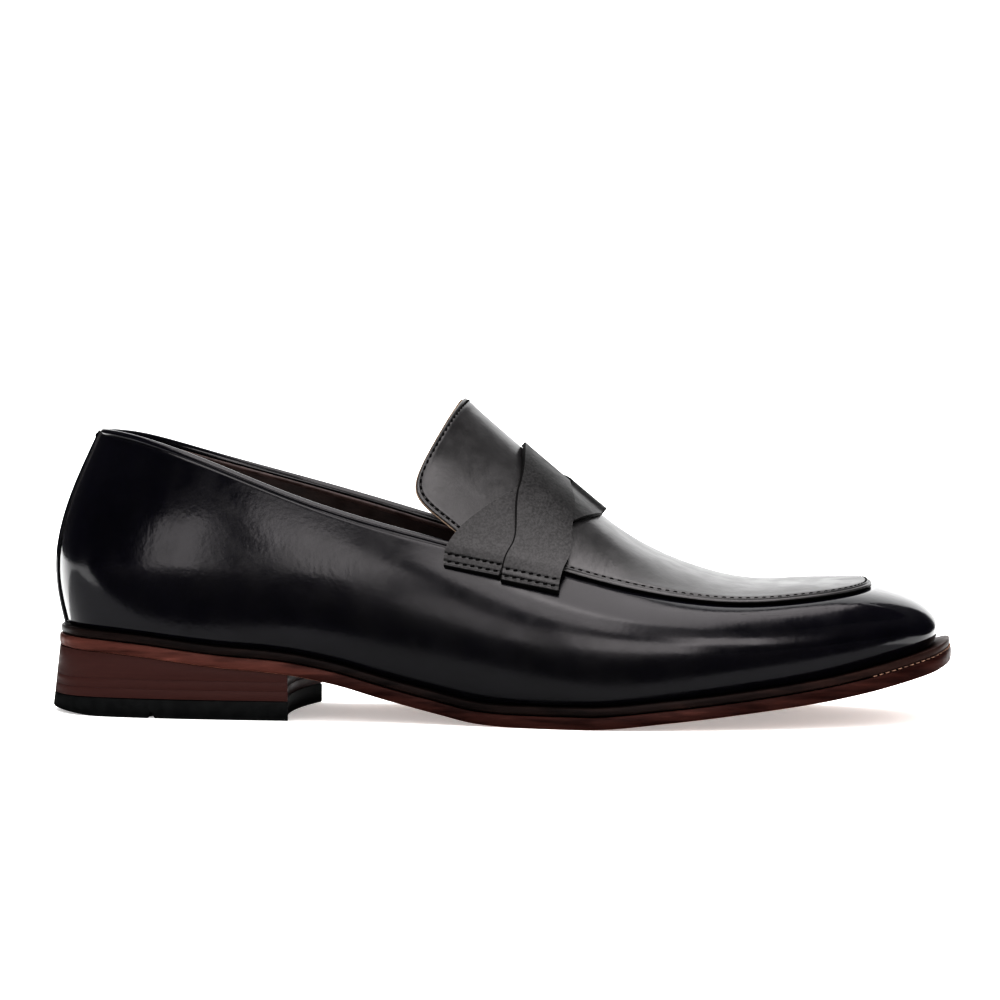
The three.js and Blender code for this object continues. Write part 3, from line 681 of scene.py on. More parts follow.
def welt_leather():
    look = Look("dark_brown_welt", (0.022, 0.01, 0.009), 0.42, Specular_IOR_Level=0.08)
    browner = look.remapped(look.axis("X", 70, 145), 0, 0.4, 0, 1)
    look.colors(look.combined("ADD", look.noise(3, 4, stretch=(6, 6, 1)), browner), [
        (0.3, (0.005, 0.003, 0.0028)), (0.6, (0.011, 0.006, 0.0052)), (0.9, (0.022, 0.0105, 0.0085)),
    ])
    look.roughen(0.36, 0.5, 3, 3, stretch=(5, 5, 1))
    look.raise_by(look.noise(0.7, 3, stretch=(6, 6, 1)), 0.03)
    return look.material


def heel_leather():
    look = Look("stacked_heel_leather", (0.05, 0.02, 0.017), 0.48, Specular_IOR_Level=0.05)
    look.colors(look.noise(0.7, 5, stretch=(34, 34, 1), roughness=0.6), [
        (0.2, (0.034, 0.0138, 0.0122)), (0.5, (0.037, 0.0152, 0.0134)), (0.8, (0.041, 0.017, 0.015)),
    ])
    look.roughen(0.4, 0.52, 3, 3, stretch=(5, 5, 1))
    look.raise_by(look.noise(0.6, 4, stretch=(20, 20, 1)), 0.008)
    return look.material


def tread_leather():
    look = Look("sole_tread_leather", (0.2, 0.09, 0.05), 0.5)
    look.tones((0.15, 0.06, 0.034), (0.26, 0.12, 0.07), 12, 5)
    look.roughen(0.42, 0.6, 5, 3)
    look.raise_by(look.cells(0.6), 0.03)
    return look.material


def heel_rubber():
    look = Look("black_heel_rubber", (0.006, 0.0065, 0.007), 0.6, Specular_IOR_Level=0.06)
    look.tones((0.0045, 0.005, 0.0052), (0.0072, 0.0078, 0.008), 4, 4)
    look.raise_by(look.noise(0.5, 3), 0.04)
    return look.material


def fibre_board():
    look = Look("fibre_board", (0.3, 0.2, 0.12), 0.85)
    look.tones((0.22, 0.14, 0.08), (0.38, 0.26, 0.16), 1.5, 5)
    look.raise_by(look.noise(0.8, 4), 0.1)
    return look.material


def cork():
    look = Look("cork", (0.36, 0.22, 0.12), 0.9)
    look.colors(look.cells(2.2), [(0.1, (0.2, 0.11, 0.06)), (0.6, (0.45, 0.28, 0.16))])
    look.raise_by(look.cells(2.2), 0.2)
    return look.material


def foam():
    look = Look("foam", (0.6, 0.52, 0.42), 0.95)
    look.raise_by(look.cells(0.8), 0.2)
    return look.material


def steel():
    look = Look("steel", (0.5, 0.5, 0.52), 0.35, Metallic=1.0)
    look.roughen(0.28, 0.45, 1.5, 3, stretch=(8, 1, 1))
    return look.material


POLISHED = polished_leather()
SATIN = satin_leather()
GRAINED = grained_leather()
CUT_EDGE_AND_SHADE = cut_edge()
LINING_LEATHER = lining_leather()
LINING_FOLD_HIGHLIGHT = lining_fold()
SOCK_LEATHER = sock_leather()
LINING_EDGE = lining_edge()
THREAD = thread()
SOLE_THREAD = sole_thread()
SOLE_EDGE = sole_edge()
TREAD = tread_leather()
WELT_LEATHER = welt_leather()
HEEL_LEATHER = heel_leather()
RUBBER = heel_rubber()
HIDDEN_LOOKS = {"fibre_board": fibre_board(), "cork": cork(), "foam": foam(), "steel": steel()}

# ---------- the skirt, its linings and stiffeners ----------
FINE = 14  # columns for each station
AROUND = np.linspace(0, STATIONS, STATIONS * FINE, endpoint=False)
FREE_EDGE = 5.75  # the station where the topline ends
SKIRT_TOP = 1.1  # how far below the topline the skirt ends, inside the roll
UNDER_APRON = 7.0  # how far the skirt runs under the apron
# Lasted flanges as (depth inside the feather edge, lift over the seat): two points each of top and bottom.
SKIRT_FLANGE = [(9, 0.35), (0.5, 0.2), (9, 1.4), (1.6, 1.4)]
LINING_FLANGE = [(11, 2.0), (3.3, 2.0), (11, 2.8), (4.2, 2.8)]


def rail_length(u):
    """Millimetres for one rail just below the topline or seam."""
    return 2 * np.linalg.norm(SKIRT.at(u, EDGE_RAIL) - SKIRT.at(u, EDGE_RAIL - 0.5), axis=-1)


def from_edge(u, millimetres):
    """The rail at a distance below the topline or seam."""
    return EDGE_RAIL - millimetres / rail_length(u)


def at_topline(u):
    """1 where the wall's edge is the topline, 0 where it runs under the apron."""
    return 1 - smoothstep(from_back(u), FREE_EDGE - 0.08, FREE_EDGE + 0.25)


WALL_RAILS = [
    0.04, 0.1, 0.17, 0.25, 0.35, 0.45, 0.55, 0.66, 0.78, 0.9, 1.0, 1.12, 1.24, 1.36, 1.48, 1.6, 1.72, 1.84,
    1.96, 2.08, 2.2, 2.32, 2.42,
]
EDGE_STEPS = [7.0, 5.5, 4.2, 3.3, 2.8, 2.4, 2.1, 1.8, 1.5, 1.2]  # rows at these distances below the edge


def wall_grid(u_line, top_at):
    """Stations and rails of a wall's grid, whose last rows follow the edge at EDGE_STEPS."""
    u = np.repeat(u_line[:, None], len(WALL_RAILS) + len(EDGE_STEPS) + 1, axis=1)
    v = np.empty_like(u)
    v[:, : len(WALL_RAILS)] = WALL_RAILS
    for j, distance in enumerate(EDGE_STEPS + [top_at]):
        v[:, len(WALL_RAILS) + j] = from_edge(u_line, distance)
    under = 1 - at_topline(u_line)
    v[:, -1] = lerp(v[:, -1], from_edge(u_line, -UNDER_APRON), under)
    v[:, len(WALL_RAILS):] = np.sort(v[:, len(WALL_RAILS):], axis=1)
    return u, v


def lasted_sheet(name, u_line, top, bottom, flange, material, **options):
    """A wall with a flange that is lasted under the insole."""
    rows = [plan_points(u_line, welt_reach(u_line) + depth, lift) for depth, lift in flange]
    sheet_piece(
        name, np.concatenate([np.stack(rows[:2], axis=1), top], axis=1),
        np.concatenate([np.stack(rows[2:], axis=1), bottom], axis=1), [material], **options,
    )


def skirt():
    u, v = wall_grid(AROUND, SKIRT_TOP)
    below = (EDGE_RAIL - v) * rail_length(u)
    seam = 1 - at_topline(u)
    dip_along_seam = -0.45 * seam * bell(below, -0.4, 1.6)
    groove_below_roll = -0.16 * (1 - seam) * bell(below, 2.1, 0.28)
    top = SKIRT.out(u, v, dip_along_seam + groove_below_roll)
    lasted_sheet(
        "upper_skirt", AROUND, top, SKIRT.out(u, v, -UPPER), SKIRT_FLANGE, POLISHED, closed=True,
        replaces=["skirt"], slot="polished_leather",
    )


COUNTER_END = 3.6  # stations from the back
PUFF_END = 2.4  # stations from the toe


def lining_offset(u, v):
    """How far outside the upper's face the lining's outer face lies: it makes room for the stiffeners."""
    station = from_back(u)
    at_counter = 1 - smoothstep(station, COUNTER_END, COUNTER_END + 0.7)
    at_puff = smoothstep(station, TOE - PUFF_END - 0.7, TOE - PUFF_END)
    stiff = np.maximum(at_counter, at_puff) * (1 - smoothstep(v, 2, 3))
    return lerp(-UPPER - GAP, -UPPER - STIFFENER - 2 * GAP, stiff)


LINING_SEAM = 6.0  # the station where the two linings meet
LINING_TOP = 2.0  # how far below the topline the lining ends


def lining_sheet(name, surface, u_line, u, v, outer, node):
    lasted_sheet(
        name, u_line, surface.out(u, v, outer), surface.out(u, v, outer - LINING), LINING_FLANGE,
        LINING_LEATHER, replaces=[node], slot="lining_leather",
    )


def quarter_lining():
    u_line = np.linspace(-LINING_SEAM, LINING_SEAM, 12 * FINE + 1) % STATIONS
    u, v = wall_grid(u_line, LINING_TOP)
    v = np.minimum(v, np.where(at_topline(u) > 0.5, from_edge(u, LINING_TOP), np.inf))
    lining_sheet("lining_of_quarters", SKIRT, u_line, u, v, lining_offset(u, v), "quarter_lining")


def vamp_lining():
    start = LINING_SEAM + 0.02
    u_line = np.linspace(start, STATIONS - start, 12 * 8 + 1)
    rails = np.concatenate([np.linspace(0.05, EDGE_RAIL, 20), np.linspace(3.1, LAST_RAIL, 14)])
    u, v = np.meshgrid(u_line, rails, indexing="ij")
    outer = lerp(lining_offset(u, v), -GAP, smoothstep(v, 3.15, 3.6))
    lining_sheet("lining_of_vamp", VAMP, u_line, u, v, outer, "vamp_lining")


def stiffener(name, node, first, last):
    u_line = np.linspace(first, last, int((last - first) * 8)) % STATIONS
    u, v = np.meshgrid(u_line, np.linspace(0.3, 2, 16), indexing="ij")
    outer = -UPPER - GAP
    sheet_piece(
        name, SKIRT.out(u, v, outer), SKIRT.out(u, v, outer - STIFFENER), [HIDDEN_LOOKS["fibre_board"]],
        replaces=[node], slot="fibre_board",
    )


# ---------- topline ----------
BINDING_END = 5.62  # stations from the back
# The rolled edge's section as (outward, upward) from the topline, down outside, over and down inside.
ROLL_SECTION = [
    (0.05, -2.0), (0.3, -1.75), (0.42, -1.3), (0.34, -0.8), (0.12, -0.3), (-0.35, 0.12), (-0.95, 0.25),
    (-1.55, 0.12), (-2.0, -0.3), (-2.3, -0.8), (-2.45, -1.2), (-2.5, -1.6), (-2.45, -2.0), (-1.7, -2.2),
    (-1.4, -2.0),
]
# The lining's folded edge below it, in the same directions.
LIP_SECTION = [
    (-1.8, -1.9), (-2.3, -1.75), (-2.65, -1.85), (-2.85, -2.2), (-2.85, -2.6), (-2.7, -3.1), (-2.5, -3.6),
    (-1.9, -3.6),
]


def topline_roll():
    """The rolled edge of the opening, and the folded edge of the lining below it."""
    u_line = np.linspace(-BINDING_END, BINDING_END, 12 * 26) % STATIONS
    edge = SKIRT.at(u_line, EDGE_RAIL)
    normal = SKIRT.normal(u_line, EDGE_RAIL)
    up = unit(edge - SKIRT.at(u_line, EDGE_RAIL - 0.1))

    def rings(section):
        return np.stack([edge + normal * out + up * rise for out, rise in section], axis=1)

    swept_piece(
        "topline_roll", rings(ROLL_SECTION), POLISHED, replaces=["topline_binding"],
        slot="polished_leather",
    )
    # The fold's lighter colour is a painted highlight.
    swept_piece("lining_fold", rings(LIP_SECTION), LINING_FOLD_HIGHLIGHT, slot="lining_leather")


# ---------- apron and tongue ----------
# The tongue's free edge as [station, rail], from the seam to the middle of its top.
TONGUE_OUTLINE = [
    (6.1, 3), (5.75, 3), (5.35, 3.24), (4.88, 3.42), (4.6, 3.64), (4.42, 4), (4.3, 4.42), (4.24, 4.78),
    (4.22, 5), (4.24, 5.22),
]
TONGUE_TURNS = len(TONGUE_OUTLINE) - 3
tongue_slopes = slope_matrix(len(TONGUE_OUTLINE), False) @ np.array(TONGUE_OUTLINE)


def tongue_edge(q):
    """The free edge's station and rail, q from 0 at the seam to TONGUE_TURNS at the top's middle."""
    outline = np.array(TONGUE_OUTLINE)
    k = np.clip(np.asarray(q).astype(int), 0, TONGUE_TURNS - 1) + 1
    t = (q - (k - 1))[:, None]
    return hermite(outline[k], outline[k + 1], tongue_slopes[k], tongue_slopes[k + 1], t)


# The apron's columns at these distances from its edge follow its rounding, crease and stitch channel.
RIM_STEPS = [
    0, 0.08, 0.2, 0.4, 0.6, 0.78, 0.9, 1.02, 1.2, 1.4, 1.6, 1.75, 1.9, 2.05, 2.25, 2.5, 3.0, 3.8, 5.2,
]
INNER_COLUMNS = 26  # from the last of those to the ridge
RIDGE_START = 4.85  # the ridge's station that the middle of the tongue's top runs to
STITCH_INSET = 1.9
TONGUE_STITCH_INSET = 1.5
STITCH_SINK = 0.2  # how deep the stitches lie below the leather's face
LINING_SHOWS = 0.45  # how far the tongue's lining stands out beyond its leather


def on_tongue(u):
    """1 along the tongue's free edge and 0 along the apron's seam."""
    return 1 - smoothstep(u, 5.6, 5.95)


def apron_edges():
    """The apron's edge from the tongue's top to the toe: its stations, its rails and the ridge's stations."""
    free = tongue_edge(np.linspace(TONGUE_TURNS, 0, 90))
    free = free[free[:, 0] < LINING_SEAM - 0.03]
    seam_u = np.linspace(LINING_SEAM, TOE, 6 * 16 + 1)
    u = np.concatenate([free[:, 0], seam_u])
    v = np.concatenate([np.minimum(free[:, 1], LAST_RAIL), np.full(len(seam_u), float(EDGE_RAIL))])
    ridge_u = np.concatenate([np.linspace(RIDGE_START, LINING_SEAM, len(free)), seam_u])
    return u, v, ridge_u


def apron_grid(rim_steps, leather_inset=0.0):
    """Half of the apron's grid: stations, rails and distances from the leather's edge.

    Along the tongue the leather's edge lies inside the outline, which is the lining's edge, by an inset.
    """
    u0, v0, u1 = apron_edges()

    def between(shares):
        return lerp(u0[:, None], u1[:, None], shares), lerp(v0[:, None], LAST_RAIL, shares)

    dense = np.linspace(0, 1, 81)
    steps = np.linalg.norm(np.diff(VAMP.at(*between(dense[None, :])), axis=1), axis=2)
    lengths = np.cumsum(np.pad(steps, ((0, 0), (1, 0))), axis=1)
    total = lengths[:, -1]
    rim = np.array(rim_steps, float)
    start = leather_inset * on_tongue(u0)
    fit = np.minimum(1, total / (rim[-1] * 1.6))  # the rim is narrower where the row is short
    inner = np.linspace(0, 1, INNER_COLUMNS + 1)[1:]
    shares = np.empty((len(u0), len(rim) + INNER_COLUMNS))
    distance = np.empty_like(shares)
    for i in range(len(u0)):
        rim_here = rim * fit[i] + start[i]
        from_outline = np.concatenate([rim_here, lerp(rim_here[-1], total[i], inner)])
        distance[i] = from_outline - start[i]
        shares[i] = np.interp(from_outline, lengths[i], dense)
    return *between(shares), distance


def rim_profile(d, u):
    """Height of the apron's face against the distance from its edge."""
    tongue = on_tongue(u)
    rounding = 0.35 * (1 - np.sqrt(np.clip(1 - (1 - np.clip(d / 0.4, 0, 1)) ** 2, 0, 1)))
    crease = 0.28 * bell(d, 0.95, 0.13) * (1 - tongue)
    channel = 0.25 * bell(d, lerp(STITCH_INSET, TONGUE_STITCH_INSET, tongue), 0.28)
    swell = 0.1 * bell(d, 1.4, 0.3) * (1 - tongue) + 0.12 * bell(d, 3.2, 0.9)
    skiving = 0.45 * (1 - smoothstep(d, 0, 1.7)) * (1 - tongue)
    return swell - rounding - crease - channel - skiving


def both_sides(u, v, out):
    """A half grid on the outer side and its mirror on the inner side, joined at the ridge."""
    outer = VAMP.out(u, v, out)
    inner = VAMP.out(STATIONS - u, v, out)
    ridge = (outer[:, -1] + inner[:, -1]) / 2
    outer[:, -1] = ridge
    return np.concatenate([outer, inner[:, -2::-1]], axis=1)


APRON_OUT = GAP + APRON


def apron_and_tongue():
    u, v, d = apron_grid(RIM_STEPS, LINING_SHOWS)
    top = both_sides(u, v, APRON_OUT + rim_profile(d, u[:, :1]))
    bottom = both_sides(u, v, GAP)
    sheet_piece(
        "apron_and_tongue", top, bottom, [SATIN, CUT_EDGE_AND_SHADE], ends=False, replaces=["apron_tongue"],
        slot="grained_leather", crease=50,
    )


def tongue_lining():
    """The lining under the tongue, with a pale strip along its edge that shows beyond the leather."""
    u, v, _ = apron_grid([0, 0.25, 0.5, 0.75, 1.0, 1.6, 4.0])
    free = u[:, 0] < FREE_EDGE - 0.03
    u, v = u[free], v[free]
    outer = GAP - 0.05
    sheet_piece(
        "lining_of_tongue", both_sides(u, v, outer), both_sides(u, v, outer - LINING), [LINING_LEATHER],
        replaces=["tongue_lining"], slot="lining_leather", crease=50,
    )
    u, v = u[:, :5], v[:, :5]
    for side, around in {"outer": u, "inner": STATIONS - u}.items():
        face, under = (VAMP.out(around, v, height) for height in (GAP + 0.02, GAP - 0.06))
        sheet_piece(f"tongue_lining_edge_{side}", face, under, [LINING_EDGE])


def rim_line(inset, keep):
    """A line at an inset from the leather's edge on both sides, as points and normals.

    Keep is a function that tells which of the line's stations belong to it.
    """
    u, v, _ = apron_grid([0, inset], LINING_SHOWS)
    kept = keep(u[:, 1])
    u, v = u[kept, 1], v[kept, 1]
    u, v = np.concatenate([u, STATIONS - u[::-1]]), np.concatenate([v, v[::-1]])
    return VAMP.out(u, v, APRON_OUT - STITCH_SINK), VAMP.normal(u, v)


# ---------- crossed bands ----------
class Band:
    """A leather band over the instep.

    t runs from -1 at its outer end to 1 at its inner end, and across from -1 to 1. The middle and the half
    width are stations against |t|. The band lies over the other one on the outer side if over is -1, and on
    the inner side if it is 1.
    """

    def __init__(self, middle, half_width, end_rail, over):
        self.middle, self.half_width = profile(middle), profile(half_width)
        self.end_rail, self.over = end_rail, over

    def place(self, t, across):
        share = np.abs(t)
        v = lerp(LAST_RAIL, self.end_rail, share)
        u = self.middle(share) + across * self.half_width(share)
        return u, v

    def rest_height(self, t, v):
        """The height of the band's lower face over the vamp, the apron and the other band."""
        share = np.abs(t)
        on_top = smoothstep(t * self.over, -0.01, 0.05) * (1 - smoothstep(share, 0.92, 1.0))
        rest = lerp(GAP + 0.1, APRON_OUT + 0.2, smoothstep(v, 2.55, 2.97))
        return rest + on_top * (BAND + 0.15)

    def at(self, t, across, out):
        u, v = self.place(t, across)
        height = self.rest_height(t, v) + out
        outer = VAMP.out(u, v, height)
        inner = VAMP.out(STATIONS - u, v, height)
        return np.where((t < 0)[..., None], outer, inner)

    def length_to_end(self, t_line):
        """Distance from each t of the band's middle line to the nearer end."""
        line = self.at(t_line, 0, 0)
        lengths = np.concatenate([[0], np.cumsum(np.linalg.norm(np.diff(line, axis=0), axis=1))])
        return np.minimum(lengths, lengths[-1] - lengths)

    def t_at(self, distances):
        """The t at each distance from the outer end."""
        t_line = np.linspace(-1, 1, 1201)
        half = len(t_line) // 2
        return np.interp(distances, self.length_to_end(t_line)[:half], t_line[:half])


FRONT_BAND = Band(
    middle=[(0, 5.65), (0.37, 5.92), (0.7, 6.23), (1, 6.25)],
    half_width=[(0, 0.29), (0.37, 0.3), (0.7, 0.27), (1, 0.27)], end_rail=2.33, over=-1,
)
REAR_BAND = Band(
    middle=[(0, 6.21), (0.41, 5.95), (0.7, 5.76), (1, 5.72)],
    half_width=[(0, 0.23), (0.41, 0.33), (0.7, 0.28), (1, 0.25)], end_rail=2.42, over=1,
)
BAND_ROWS = (2.1, 4.6)  # the two stitch rows' distances from a band's end
END_SHADE_LENGTH = 0.25  # the rows at a band's end, below its bead, that take the black edge material as painted shade
# Rows at these distances from a band's end follow its bead and its stitch channels.
END_STEPS = [*np.linspace(0, 2.4, 17), 2.6, 3.0, 3.6, 4.1, 4.3, 4.45, 4.6, 4.75, 4.9, 5.1, 5.6, 6.4]
BAND_COLUMNS = [-1, -0.955, -0.9, -0.75, -0.5, -0.25, 0, 0.25, 0.5, 0.75, 0.9, 0.955, 1]


def band_relief(to_end):
    """A rolled end with a bead above it, and a channel for each stitch row."""
    bead = 0.6 * bell(to_end, 0.55, 0.45)
    roll = 0.8 * (1 - smoothstep(to_end, 0, 0.3))
    channels = sum(0.3 * bell(to_end, row, 0.3) for row in BAND_ROWS)
    return bead - roll - channels


def band_steps(band):
    """Even steps along a band, with close rows near its ends."""
    ends = band.t_at(END_STEPS)
    first_half = np.concatenate([ends, np.linspace(ends[-1], 0, 60)[1:]])
    return np.concatenate([first_half, -first_half[-2::-1]])


def band_piece(name, band, node):
    t_line = band_steps(band)
    to_end = band.length_to_end(t_line)
    t, across = np.meshgrid(t_line, BAND_COLUMNS, indexing="ij")
    top = band.at(t, across, BAND + band_relief(to_end)[:, None])
    bottom = band.at(t, across, 0)
    # Painted shade: black on the rows at the end below the bead, and on the edge column on one side, where
    # the band stands off the leather below it.
    painted = np.zeros((len(t_line) - 1, len(BAND_COLUMNS) - 1), bool)
    painted[(to_end[1:] + to_end[:-1]) / 2 < END_SHADE_LENGTH] = True
    painted[:, 0 if band.over < 0 else -1] = True
    sheet_piece(
        name, top, bottom, [GRAINED, CUT_EDGE_AND_SHADE], painted=painted, replaces=[node], slot="grained_leather",
        crease=50,
    )


def band_stitch_lines(band):
    lines = []
    across = np.linspace(-0.93, 0.93, 40)
    for t_outer in band.t_at(BAND_ROWS):
        for t_value in (t_outer, -t_outer):
            t = np.full_like(across, t_value)
            u, v = band.place(t, across)
            u = np.where(t < 0, u, STATIONS - u)
            lines.append((band.at(t, across, BAND - 0.15), VAMP.normal(u, v)))
    return lines


# ---------- backstay ----------
BACKSTAY_REACH = 0.45  # stations to either side of the back


def backstay():
    across = np.linspace(-1, 1, 25)
    rails = np.concatenate([np.linspace(0.02, 2.7, 50), [2.8]])
    u, v = np.meshgrid(BACKSTAY_REACH * across % STATIONS, rails, indexing="ij")
    v[:, -1] = from_edge(u[:, -1], 1.6)
    round_off = 0.5 * smoothstep(np.abs(across), 0.86, 1.0)
    top = SKIRT.out(u, v, 0.1 + BACKSTAY - round_off[:, None])
    bottom = SKIRT.out(u, v, 0.05)
    sheet_piece(
        "heel_backstay", top, bottom, [POLISHED], replaces=["backstay"], slot="polished_leather", crease=50,
    )


def backstay_stitch_lines():
    """A bar tack: a short row of upright stitches over the backstay's upper end."""
    u = np.linspace(-0.42, 0.42, 30) % STATIONS
    v = from_edge(u, 3.3)
    return [(SKIRT.out(u, v, BACKSTAY), SKIRT.normal(u, v))]


# ---------- sole ----------
SOLE_COLUMNS = np.linspace(0, STATIONS, STATIONS * 12, endpoint=False)


def welt():
    """The welt's section as (inset, lift over its top face), swept round the shoe."""
    section = [
        (12, 0), (5.2, 0), (3.2, 0), (1.2, 0.02), (0.5, -0.05), (0.12, -0.25), (0, -0.6), (-0.05, -1.3),
        (0, -2.1), (0.1, -2.45), (0.3, -2.65), (12, -WELT),
    ]
    rings = np.stack([plan_points(SOLE_COLUMNS, inset, lift) for inset, lift in section], axis=1)
    swept_piece("welt_strip", rings, WELT_LEATHER, closed=True, replaces=["welt"], slot="welt_leather")


def sole_stitch_line():
    """Where the sole's sewing shows between the welt and the outsole, round the toe."""
    u = np.linspace(TOE - 2.3, TOE + 2.3, 90)
    edge = welt_edge(u)
    return plan_points(u, -0.1, (OUTSOLE_TOP - WELT) / 2), unit(edge - centre_line(edge))


def plate_piece(name, section, shares, materials, rise, lower_columns=0, **options):
    """A plate round the sole's plan: a section of (inset, lift), and faces that run in to its centre line.

    The rise is a function of x and of the height above the seat line that moves the plate up or down. The
    last columns of faces, those of its lower side, can take the second material.
    """
    edge = welt_edge(SOLE_COLUMNS)
    centre = centre_line(edge)

    def inwards(inset, lift):
        start = towards_centre(edge, inset)
        rows = []
        for share in shares:
            point = lerp(start, centre, share)
            point[..., 2] = seat_height(point[..., 0]) + lift
            rows.append(point)
        return rows

    top = inwards(*section[0])[::-1]
    side = [plan_points(SOLE_COLUMNS, inset, lift) for inset, lift in section[1:-1]]
    bottom = inwards(*section[-1])
    rings = np.stack(top + side + bottom, axis=1)
    rings[..., 2] += rise(rings[..., 0], rings[..., 2] - seat_height(rings[..., 0]))
    count, size = rings.shape[:2]
    faces, tags = [], []
    for i in range(count):
        a, b = i * size, (i + 1) % count * size
        for j in range(size - 1):
            faces.append([a + j, a + j + 1, b + j + 1, b + j])
            tags.append(int(j >= size - lower_columns))
    return new_piece(name, rings.reshape(-1, 3), faces, materials, tags=tags, **options)


def outsole():
    """The outsole: a rounded edge, and a tread with a shallow groove near it."""
    side = [
        (0.3, OUTSOLE_TOP), (0.0, -3.1), (-0.35, -3.3), (-0.6, -3.8), (-0.7, -4.8), (-0.65, -5.9),
        (-0.45, -6.7), (-0.1, -7.05),
    ]
    groove_floor = OUTSOLE_BOTTOM + 0.3
    tread = [
        (0.6, OUTSOLE_BOTTOM), (2.4, OUTSOLE_BOTTOM), (2.7, groove_floor), (3.1, groove_floor),
        (3.4, OUTSOLE_BOTTOM),
    ]
    shares = [0, 0.12, 0.3, 0.5, 0.75, 1]

    def thicker_toe(x, lift):
        share = np.clip((lift - OUTSOLE_TOP) / (OUTSOLE_BOTTOM - OUTSOLE_TOP), 0, 1)
        return -TOE_THICKENING * smoothstep(x, 80, 150) * share

    plate_piece(
        "leather_outsole", side + tread, shares, [SOLE_EDGE, TREAD], thicker_toe,
        lower_columns=len(tread) + len(shares), replaces=["outsole"], slot="sole_leather",
    )


def sock():
    """The sock lies on the insole board, and rises over the pad in the heel."""
    def over_pad(x, _):
        return (HEEL_PAD + GAP) * (1 - smoothstep(x, -68, -48))

    inset = welt_reach(SOLE_COLUMNS) + 4.6
    bottom = INSOLE_TOP + GAP
    section = [(inset + 0.3, bottom + SOCK), (inset, bottom + SOCK - 0.2), (inset, bottom)]
    plate_piece(
        "sock_leather", section, [0, 0.04, 0.12, 0.25, 0.4, 0.6, 0.8, 1], [SOCK_LEATHER], over_pad,
        replaces=["sock_liner"], slot="lining_leather",
    )


# ---------- heel ----------
HEEL_FRONT = 3.943  # the station of the heel's front corners
HEEL_MIDDLE = np.array([-104.0, 0.0, 0.0])
HEEL_BACK = 0.6  # how far the heel's top reaches back beyond the welt
HEEL_RAKE = 2.6  # how much further its back reaches at the floor
HEEL_TAPER = 0.045  # the share of its width that is lost at the floor
HEEL_STEPS = 110
HEEL_ROWS = 25
TIP_GROOVE_X = -113.5
TIP_SEAM = 0.15
LIFT_SEAM = 0.03


def heel_edge(u, z):
    top = welt_edge(u)
    drop = 1 - z / HEEL_TOP
    back = bell(top[..., 0], -152, 20)
    x = top[..., 0] - HEEL_BACK * back - HEEL_RAKE * back * drop
    return np.stack([x, top[..., 1] * (1 - HEEL_TAPER * drop), np.zeros_like(drop) + z], axis=-1)


def heel_surface(height_at, shift, inset):
    """One level of the heel, moved up by a shift and drawn in from its edge by an inset."""
    u = np.linspace(0, HEEL_FRONT, HEEL_STEPS)
    height = height_at(welt_edge(u)[:, 0]) + shift
    outer, inner = heel_edge(u, height), heel_edge(-u, height)
    front_x = heel_edge(np.array([HEEL_FRONT]), np.zeros(1))[0, 0]
    near_breast = (u / HEEL_FRONT) ** 3
    rows = []
    for t in np.linspace(-1, 1, HEEL_ROWS):
        point = lerp(outer, inner, (t + 1) / 2)
        breast = HEEL_BREAST_X - front_x - HEEL_HOLLOW * (1 - t * t) + HEEL_SLANT * (t + 1) / 2
        point[:, 0] += near_breast * breast
        rows.append(point)
    grid = np.stack(rows, axis=1)
    flat = (grid - HEEL_MIDDLE) * [1, 1, 0]
    size = np.linalg.norm(flat, axis=-1, keepdims=True)
    grid = grid - flat / np.maximum(size, 1) * inset
    grid[..., 2] = height_at(grid[..., 0]) + shift
    return grid


def heel_layer(name, node, bottom_at, top_at, material, slot, rounding):
    """A heel layer whose rim is rounded by a small inset at its top and bottom."""
    grids = [
        heel_surface(bottom_at, 0, rounding), heel_surface(bottom_at, rounding, 0),
        heel_surface(top_at, -rounding, 0), heel_surface(top_at, 0, rounding),
    ]
    rows, columns = grids[0].shape[:2]
    count = rows * columns
    vertices = np.concatenate([grid.reshape(-1, 3) for grid in grids])
    rim = (
        [i * columns for i in range(rows)]
        + [(rows - 1) * columns + j for j in range(1, columns)]
        + [i * columns + columns - 1 for i in range(rows - 2, -1, -1)]
        + [j for j in range(columns - 2, 0, -1)]
    )
    faces = []
    for i in range(rows - 1):
        for j in range(columns - 1):
            corner = i * columns + j
            quad = [corner, corner + 1, corner + columns + 1, corner + columns]
            faces.append(quad)
            faces.append([3 * count + n for n in reversed(quad)])
    for low in range(0, 3 * count, count):
        high = low + count
        for a, b in zip(rim, rim[1:] + rim[:1]):
            faces.append([low + a, low + b, high + b, high + a])
    return new_piece(name, vertices, faces, [material], replaces=[node], slot=slot, crease=50)


def heel():
    """The rubber tip, two lifts and the wedge that fills up to the slanting outsole."""
    first = TOP_LIFT + TIP_SEAM
    second, third = first + HEEL_LIFT, first + 2 * HEEL_LIFT

    def level(z):
        return lambda x: np.full_like(x, z, dtype=float)

    def tread(x):
        worn_back = 1.7 * (1 - smoothstep(x, -154, -132))
        groove = 2.0 * (np.abs(x - TIP_GROOVE_X) < 0.7)
        return np.maximum(worn_back, groove)

    def under_sole(x):
        return seat_height(x) + OUTSOLE_BOTTOM - LIFT_SEAM

    heel_layer("heel_tip", "top_lift", tread, level(TOP_LIFT), RUBBER, "heel_rubber", 0.35)
    for name, node, bottom_at, top_at, rounding in (
        ("heel_stack_lower", "heel_lift_1", level(first), level(second), 0.025),
        ("heel_stack_upper", "heel_lift_2", level(second + LIFT_SEAM), level(third), 0.025),
        ("heel_stack_wedge", "heel_seat_wedge", level(third + LIFT_SEAM), under_sole, 0.05),
    ):
        heel_layer(name, node, bottom_at, top_at, HEEL_LEATHER, "heel_leather", rounding)


# ---------- the stage ----------
VIEW_TURN, VIEW_RISE = 6, 3.6
VIEW_DISTANCE = 1.7
VIEW_CENTRE = (0.0, 0.0044, 0.0719)
LENS = 181


